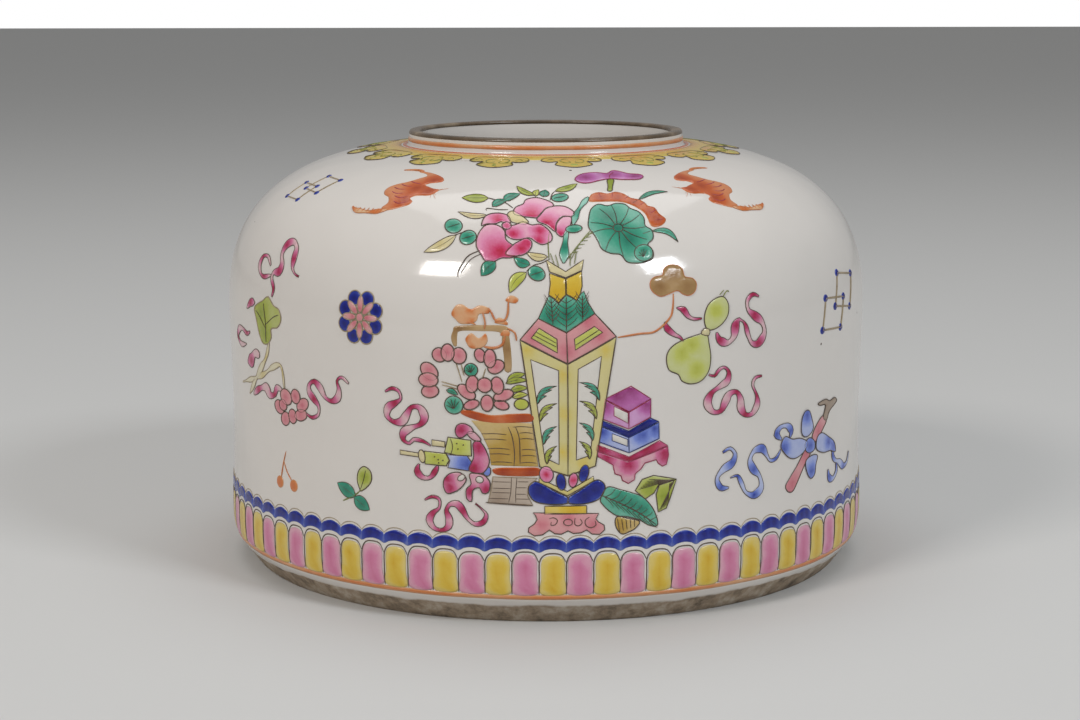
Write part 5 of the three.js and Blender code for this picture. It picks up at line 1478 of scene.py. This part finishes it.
def build_side_emblem(angle, suffix):
    """A leaf and a lotus tied with waving ribbons."""
    m = Motif(f"emblem{suffix}", angle)
    m.ribbon([(3.4, 40.2), (3.0, 43.6), (2.0, 44.8), (-1.0, 43.8), (-4.6, 42.0), (-9.6, 40.4),
              (-15.8, 38.8)], 0.9,
             "cream", "soft")
    m.ribbon([(-1.6, 48.6), (-3.0, 45.6), (-6.0, 42.6), (-11.6, 37.2)], 1.1, "cream", "soft")
    m.fill("leaf", [(-7.6, 54.4), (-6.6, 55.4), (-4.2, 56.4), (-2.0, 57.4), (0.2, 56.0), (2.2, 55.4),
                    (3.0, 53.6),
                    (1.8, 52.0), (-0.6, 51.4), (-0.6, 49.8), (-2.0, 48.4), (-4.0, 48.2), (-5.4, 49.8),
                    (-6.4, 52.0)],
           core=[(-3, 50.4), (-4.4, 54)], reach=4.0, tone=0.3, edge="soft", width=0.24)
    m.line([(-2.6, 48.6), (-2.6, 52.4), (-3.6, 56)], 0.17, "line", 3)
    m.line([(-2.6, 52.0), (0.4, 53.8), (2.2, 54.4)], 0.17, "line", 3)
    m.line([(-2.8, 51.4), (-5.2, 53.4), (-6.8, 54.2)], 0.17, "line", 3)
    for cx, ch, rx, rh, tilt, level in ((1.4, 36.6, 1.7, 1.3, -15, 0), (3.4, 34.6, 1.5, 1.3, 30, 0),
                                        (5.8, 35.4, 1.3, 1.4, 0, 0), (8.4, 36.0, 1.9, 1.1, 15, 0),
                                        (9.0, 38.0, 1.9, 1.2, 30, 0), (7.0, 39.4, 1.4, 1.4, 0, 1),
                                        (3.9, 38.9, 1.9, 1.5, -15, 1), (2.8, 37.2, 1.3, 1.1, 0, 1)):
        m.fill("rose", ellipse(cx, ch, rx, rh, tilt), core=(cx, ch), reach=2.0, tone=0.15, level=level,
               edge="line",
               rim=0.2, grid=0.9, pale=0.4)
    for path, width in (
            ([(-0.6, 57.6), (-0.2, 59.2), (-1.4, 61.0), (-1.0, 62.2), (0.8, 62.6), (1.2, 64.0), (0.2, 66.0),
              (0.8, 68.0),
              (2.6, 68.6), (4.2, 67.6), (4.6, 65.4), (5.0, 63.6), (6.2, 62.6), (7.4, 62.3)], 1.4),
            ([(-1.8, 61.6), (-4.6, 61.0), (-6.4, 61.6), (-7.4, 63.2), (-6.6, 64.8), (-4.6, 64.9),
              (-2.8, 63.4)], 1.0),
            ([(-7.6, 55.6), (-9.6, 55.4), (-11.6, 54.0)], 1.2),
            ([(-10.2, 49.6), (-12, 49.0), (-14.6, 49.6), (-17, 49.2), (-18.2, 47.6), (-16, 46.4),
              (-12.6, 46.8)], 1.1),
            ([(-12, 43.4), (-10, 44.0), (-8.2, 45.6), (-5.8, 45.6)], 2.2),
            ([(-9.4, 37.4), (-6.8, 38.8), (-3.6, 39.6), (-2.0, 38.4), (-0.2, 38.8), (0.8, 40.2),
              (2.6, 40.0)], 1.6),
            ([(10.0, 36.6), (11.6, 36.0), (13.4, 36.8), (13.6, 38.4), (12.4, 39.6), (11.2, 40.8),
              (11.2, 42.2),
              (12.6, 43.0), (14.2, 42.0), (15.4, 40.4), (17.0, 39.8), (18.6, 40.6), (19.0, 42.2),
              (18.6, 43.8),
              (19.8, 44.6), (21.4, 43.6)], 1.15)):
        m.ribbon(path, width)
    m.build({"leaf": ("emblem_leaf",), "rose": ("emblem_lotus",)} if not suffix else None)


def build_small_sprigs(angle, suffix):
    """Cherries and leaf sprigs between the larger figures."""
    m = Motif(f"cherries{suffix}", angle - 53.5)
    for cx in (-2.4, 2.3):
        m.fill("orange", ellipse(cx, 21.9, 1.25, 1.2), core=(cx, 21.9), reach=1.4, tone=0.4, pale=0.3)
    m.line([(-1.9, 23.0), (-1.2, 25.6), (-0.2, 28.2)], 0.42, "rust", 0, taper=0.4)
    m.line([(1.6, 22.8), (0.0, 24.4), (-0.9, 26.0)], 0.34, "rust", 0, taper=0.3)
    m.build()
    sprig_motif = Motif(f"leaf_sprig{suffix}", angle - 17.5)
    sprig_motif.fill("leaf", [(-20.6, 23.8), (-21.2, 25.6), (-20.8, 27.4), (-19.6, 28.3), (-18.2, 27.6),
                              (-17.9, 26.0),
                              (-18.8, 24.6), (-20.2, 23.6)], core=(-19.4, 26.2), reach=2, tone=0.15,
                     edge="line")
    sprig_motif.line([(-20.4, 23.9), (-19.6, 26.0), (-19.2, 27.6)], 0.15, "line", 3)
    for base, tip, width in (((-21.6, 22.4), (-26.0, 24.4), 2.6), ((-22.0, 22.2), (-18.4, 20.2), 2.6)):
        sprig_motif.leaf("teal", base, tip, width)
    sprig_motif.line([(-20.6, 23.6), (-21.8, 22.6), (-24.6, 21.2)], 0.3, "moss", 0)
    sprig_motif.build()


# Operators

class WASHER_OT_vessel(bpy.types.Operator):
    """Turn the porcelain vessel and dress its lip"""
    bl_idname = "washer.vessel"
    bl_label = "Vessel"

    def execute(self, context):
        build_vessel()
        return {"FINISHED"}


class WASHER_OT_lines(bpy.types.Operator):
    """Draw the iron-red lines round the collar and the foot"""
    bl_idname = "washer.lines"
    bl_label = "Red lines"

    def execute(self, context):
        build_lines()
        return {"FINISHED"}


class WASHER_OT_borders(bpy.types.Operator):
    """Paint the lappets, the blue scallops and the cloud collar"""
    bl_idname = "washer.borders"
    bl_label = "Borders"

    def execute(self, context):
        build_borders()
        return {"FINISHED"}


class WASHER_OT_vases(bpy.types.Operator):
    """Paint the vases with their stands, in front and behind"""
    bl_idname = "washer.vases"
    bl_label = "Vases"

    def execute(self, context):
        build_vase(FRONT, "")
        build_vase(FRONT + BEHIND, "_back")
        return {"FINISHED"}


class WASHER_OT_bouquets(bpy.types.Operator):
    """Paint the flowers in the vases"""
    bl_idname = "washer.bouquets"
    bl_label = "Bouquets"

    def execute(self, context):
        build_bouquet(FRONT, "")
        build_bouquet(FRONT + BEHIND, "_back")
        return {"FINISHED"}


class WASHER_OT_right_groups(bpy.types.Operator):
    """Paint the gourd, sceptre, book boxes and leaves"""
    bl_idname = "washer.right_groups"
    bl_label = "Gourd and boxes"

    def execute(self, context):
        build_right_group(20.0, "")
        build_right_group(20.0 + BEHIND, "_back")
        return {"FINISHED"}


class WASHER_OT_left_groups(bpy.types.Operator):
    """Paint the altar table, lotus, books and scrolls"""
    bl_idname = "washer.left_groups"
    bl_label = "Table and books"

    def execute(self, context):
        build_left_group(-14.0, "")
        build_left_group(-14.0 + BEHIND, "_back")
        return {"FINISHED"}


class WASHER_OT_bats(bpy.types.Operator):
    """Paint the four bats on the shoulder"""
    bl_idname = "washer.bats"
    bl_label = "Bats"

    def execute(self, context):
        build_bats()
        return {"FINISHED"}


class WASHER_OT_emblems(bpy.types.Operator):
    """Paint the flutes, rosettes, linked squares, lotus emblems and small sprigs"""
    bl_idname = "washer.emblems"
    bl_label = "Emblems"

    def execute(self, context):
        for turn, suffix in ((0.0, ""), (BEHIND, "_back")):
            build_rosette(-31.6 + turn, suffix)
            build_flute(54.0 + turn, suffix)
            build_side_emblem(-53.0 + turn, suffix)
            build_small_sprigs(FRONT + turn, suffix)
            build_knots(58.0 + turn, 55.5, f"_right{suffix}")
            build_knots(-62.0 + turn, 81.5, f"_left{suffix}", 0.75)
        return {"FINISHED"}


class WASHER_OT_stage(bpy.types.Operator):
    """Set the floor, the lights and the camera"""
    bl_idname = "washer.stage"
    bl_label = "Stage"

    def execute(self, context):
        build_stage()
        return {"FINISHED"}


def build_stage():
    scene = bpy.context.scene
    scene.view_settings.view_transform = "Standard"
    bm = bmesh.new()
    bmesh.ops.create_grid(bm, x_segments=1, y_segments=1, size=4.0)
    mesh = bpy.data.meshes.new("floor")
    bm.to_mesh(mesh)
    bm.free()
    floor = bpy.data.objects.new("floor", mesh)
    scene.collection.objects.link(floor)
    material = bpy.data.materials.new("floor_finish")
    material.use_nodes = True
    material.node_tree.nodes["Principled BSDF"].inputs["Base Color"].default_value = (0.62, 0.62, 0.61, 1.0)
    material.node_tree.nodes["Principled BSDF"].inputs["Roughness"].default_value = 0.8
    mesh.materials.append(material)

    world = bpy.data.worlds.new("studio")
    scene.world = world
    world.use_nodes = True
    nodes, links = world.node_tree.nodes, world.node_tree.links
    background = nodes["Background"]
    path = nodes.new("ShaderNodeLightPath")
    seen = nodes.new("ShaderNodeMath")
    seen.operation = "MAXIMUM"
    links.new(path.outputs["Is Camera Ray"], seen.inputs[0])
    links.new(path.outputs["Is Transmission Ray"], seen.inputs[1])
    strength = nodes.new("ShaderNodeMapRange")
    strength.inputs["To Min"].default_value = 0.30
    strength.inputs["To Max"].default_value = 1.0
    links.new(seen.outputs[0], strength.inputs["Value"])
    links.new(strength.outputs["Result"], background.inputs["Strength"])
    background.inputs["Color"].default_value = (1.0, 1.0, 1.0, 1.0)

    for name, place, size, power, tint in (
            ("left_window", (-0.62, -0.72, 0.72), 0.30, 4.6, (1.0, 0.955, 0.91)),
            ("right_window", (0.66, -0.62, 0.70), 0.26, 4.0, (0.92, 0.96, 1.0)),
            ("overhead", (0.0, 0.2, 1.0), 0.9, 2.6, (1.0, 1.0, 1.0))):
        data = bpy.data.lights.new(name, "AREA")
        data.shape = "RECTANGLE"
        data.size = size
        data.size_y = size * 0.7
        data.energy = power
        data.color = tint
        lamp = bpy.data.objects.new(name, data)
        lamp.location = place
        lamp.rotation_euler = (Vector((0, 0, 0.045)) - Vector(place)).to_track_quat("-Z", "Y").to_euler()
        scene.collection.objects.link(lamp)

    camera_data = bpy.data.cameras.new("photo_camera")
    camera_data.sensor_width = 36.0
    camera_data.lens = 75.55
    camera = bpy.data.objects.new("photo_camera", camera_data)
    turn = (Matrix.Rotation(math.radians(0.153), 4, "Z") @ Matrix.Rotation(math.radians(90 - 9.878), 4, "X")
            @ Matrix.Rotation(math.radians(-0.101), 4, "Z"))
    camera.matrix_world = Matrix.Translation((0.0, -0.46448, 0.11941)) @ turn
    scene.collection.objects.link(camera)
    scene.camera = camera


class WASHER_PT_panel(bpy.types.Panel):
    """Shows the washer's sizes and colours and the buttons for its build steps"""
    bl_label = "Brush Washer"
    bl_idname = "WASHER_PT_panel"
    bl_space_type = "VIEW_3D"
    bl_region_type = "UI"
    bl_category = "Washer"

    def draw(self, context):
        for group in (context.scene.washer_sizes, context.scene.washer_colours):
            for key in group.bl_rna.properties.keys():
                if key not in {"rna_type", "name"}:
                    self.layout.prop(group, key)
        for operator in OPERATORS:
            self.layout.operator(operator.bl_idname)


OPERATORS = (WASHER_OT_vessel, WASHER_OT_lines, WASHER_OT_borders, WASHER_OT_vases, WASHER_OT_bouquets,
             WASHER_OT_right_groups, WASHER_OT_left_groups, WASHER_OT_bats, WASHER_OT_emblems,
             WASHER_OT_stage)
CLASSES = (WasherSizes, WasherColours, *OPERATORS, WASHER_PT_panel)


def register():
    for cls in CLASSES:
        bpy.utils.register_class(cls)
    bpy.types.Scene.washer_sizes = bpy.props.PointerProperty(type=WasherSizes)
    bpy.types.Scene.washer_colours = bpy.props.PointerProperty(type=WasherColours)


def unregister():
    del bpy.types.Scene.washer_colours
    del bpy.types.Scene.washer_sizes
    for cls in reversed(CLASSES):
        bpy.utils.unregister_class(cls)


surface = None


def main():
    global surface
    register()
    surface = Surface()
    bpy.ops.washer.vessel()
    bpy.ops.washer.lines()
    bpy.ops.washer.borders()
    bpy.ops.washer.vases()
    bpy.ops.washer.bouquets()
    bpy.ops.washer.right_groups()
    bpy.ops.washer.left_groups()
    bpy.ops.washer.bats()
    bpy.ops.washer.emblems()
    bpy.ops.washer.stage()


if __name__ == "__main__":
    main()
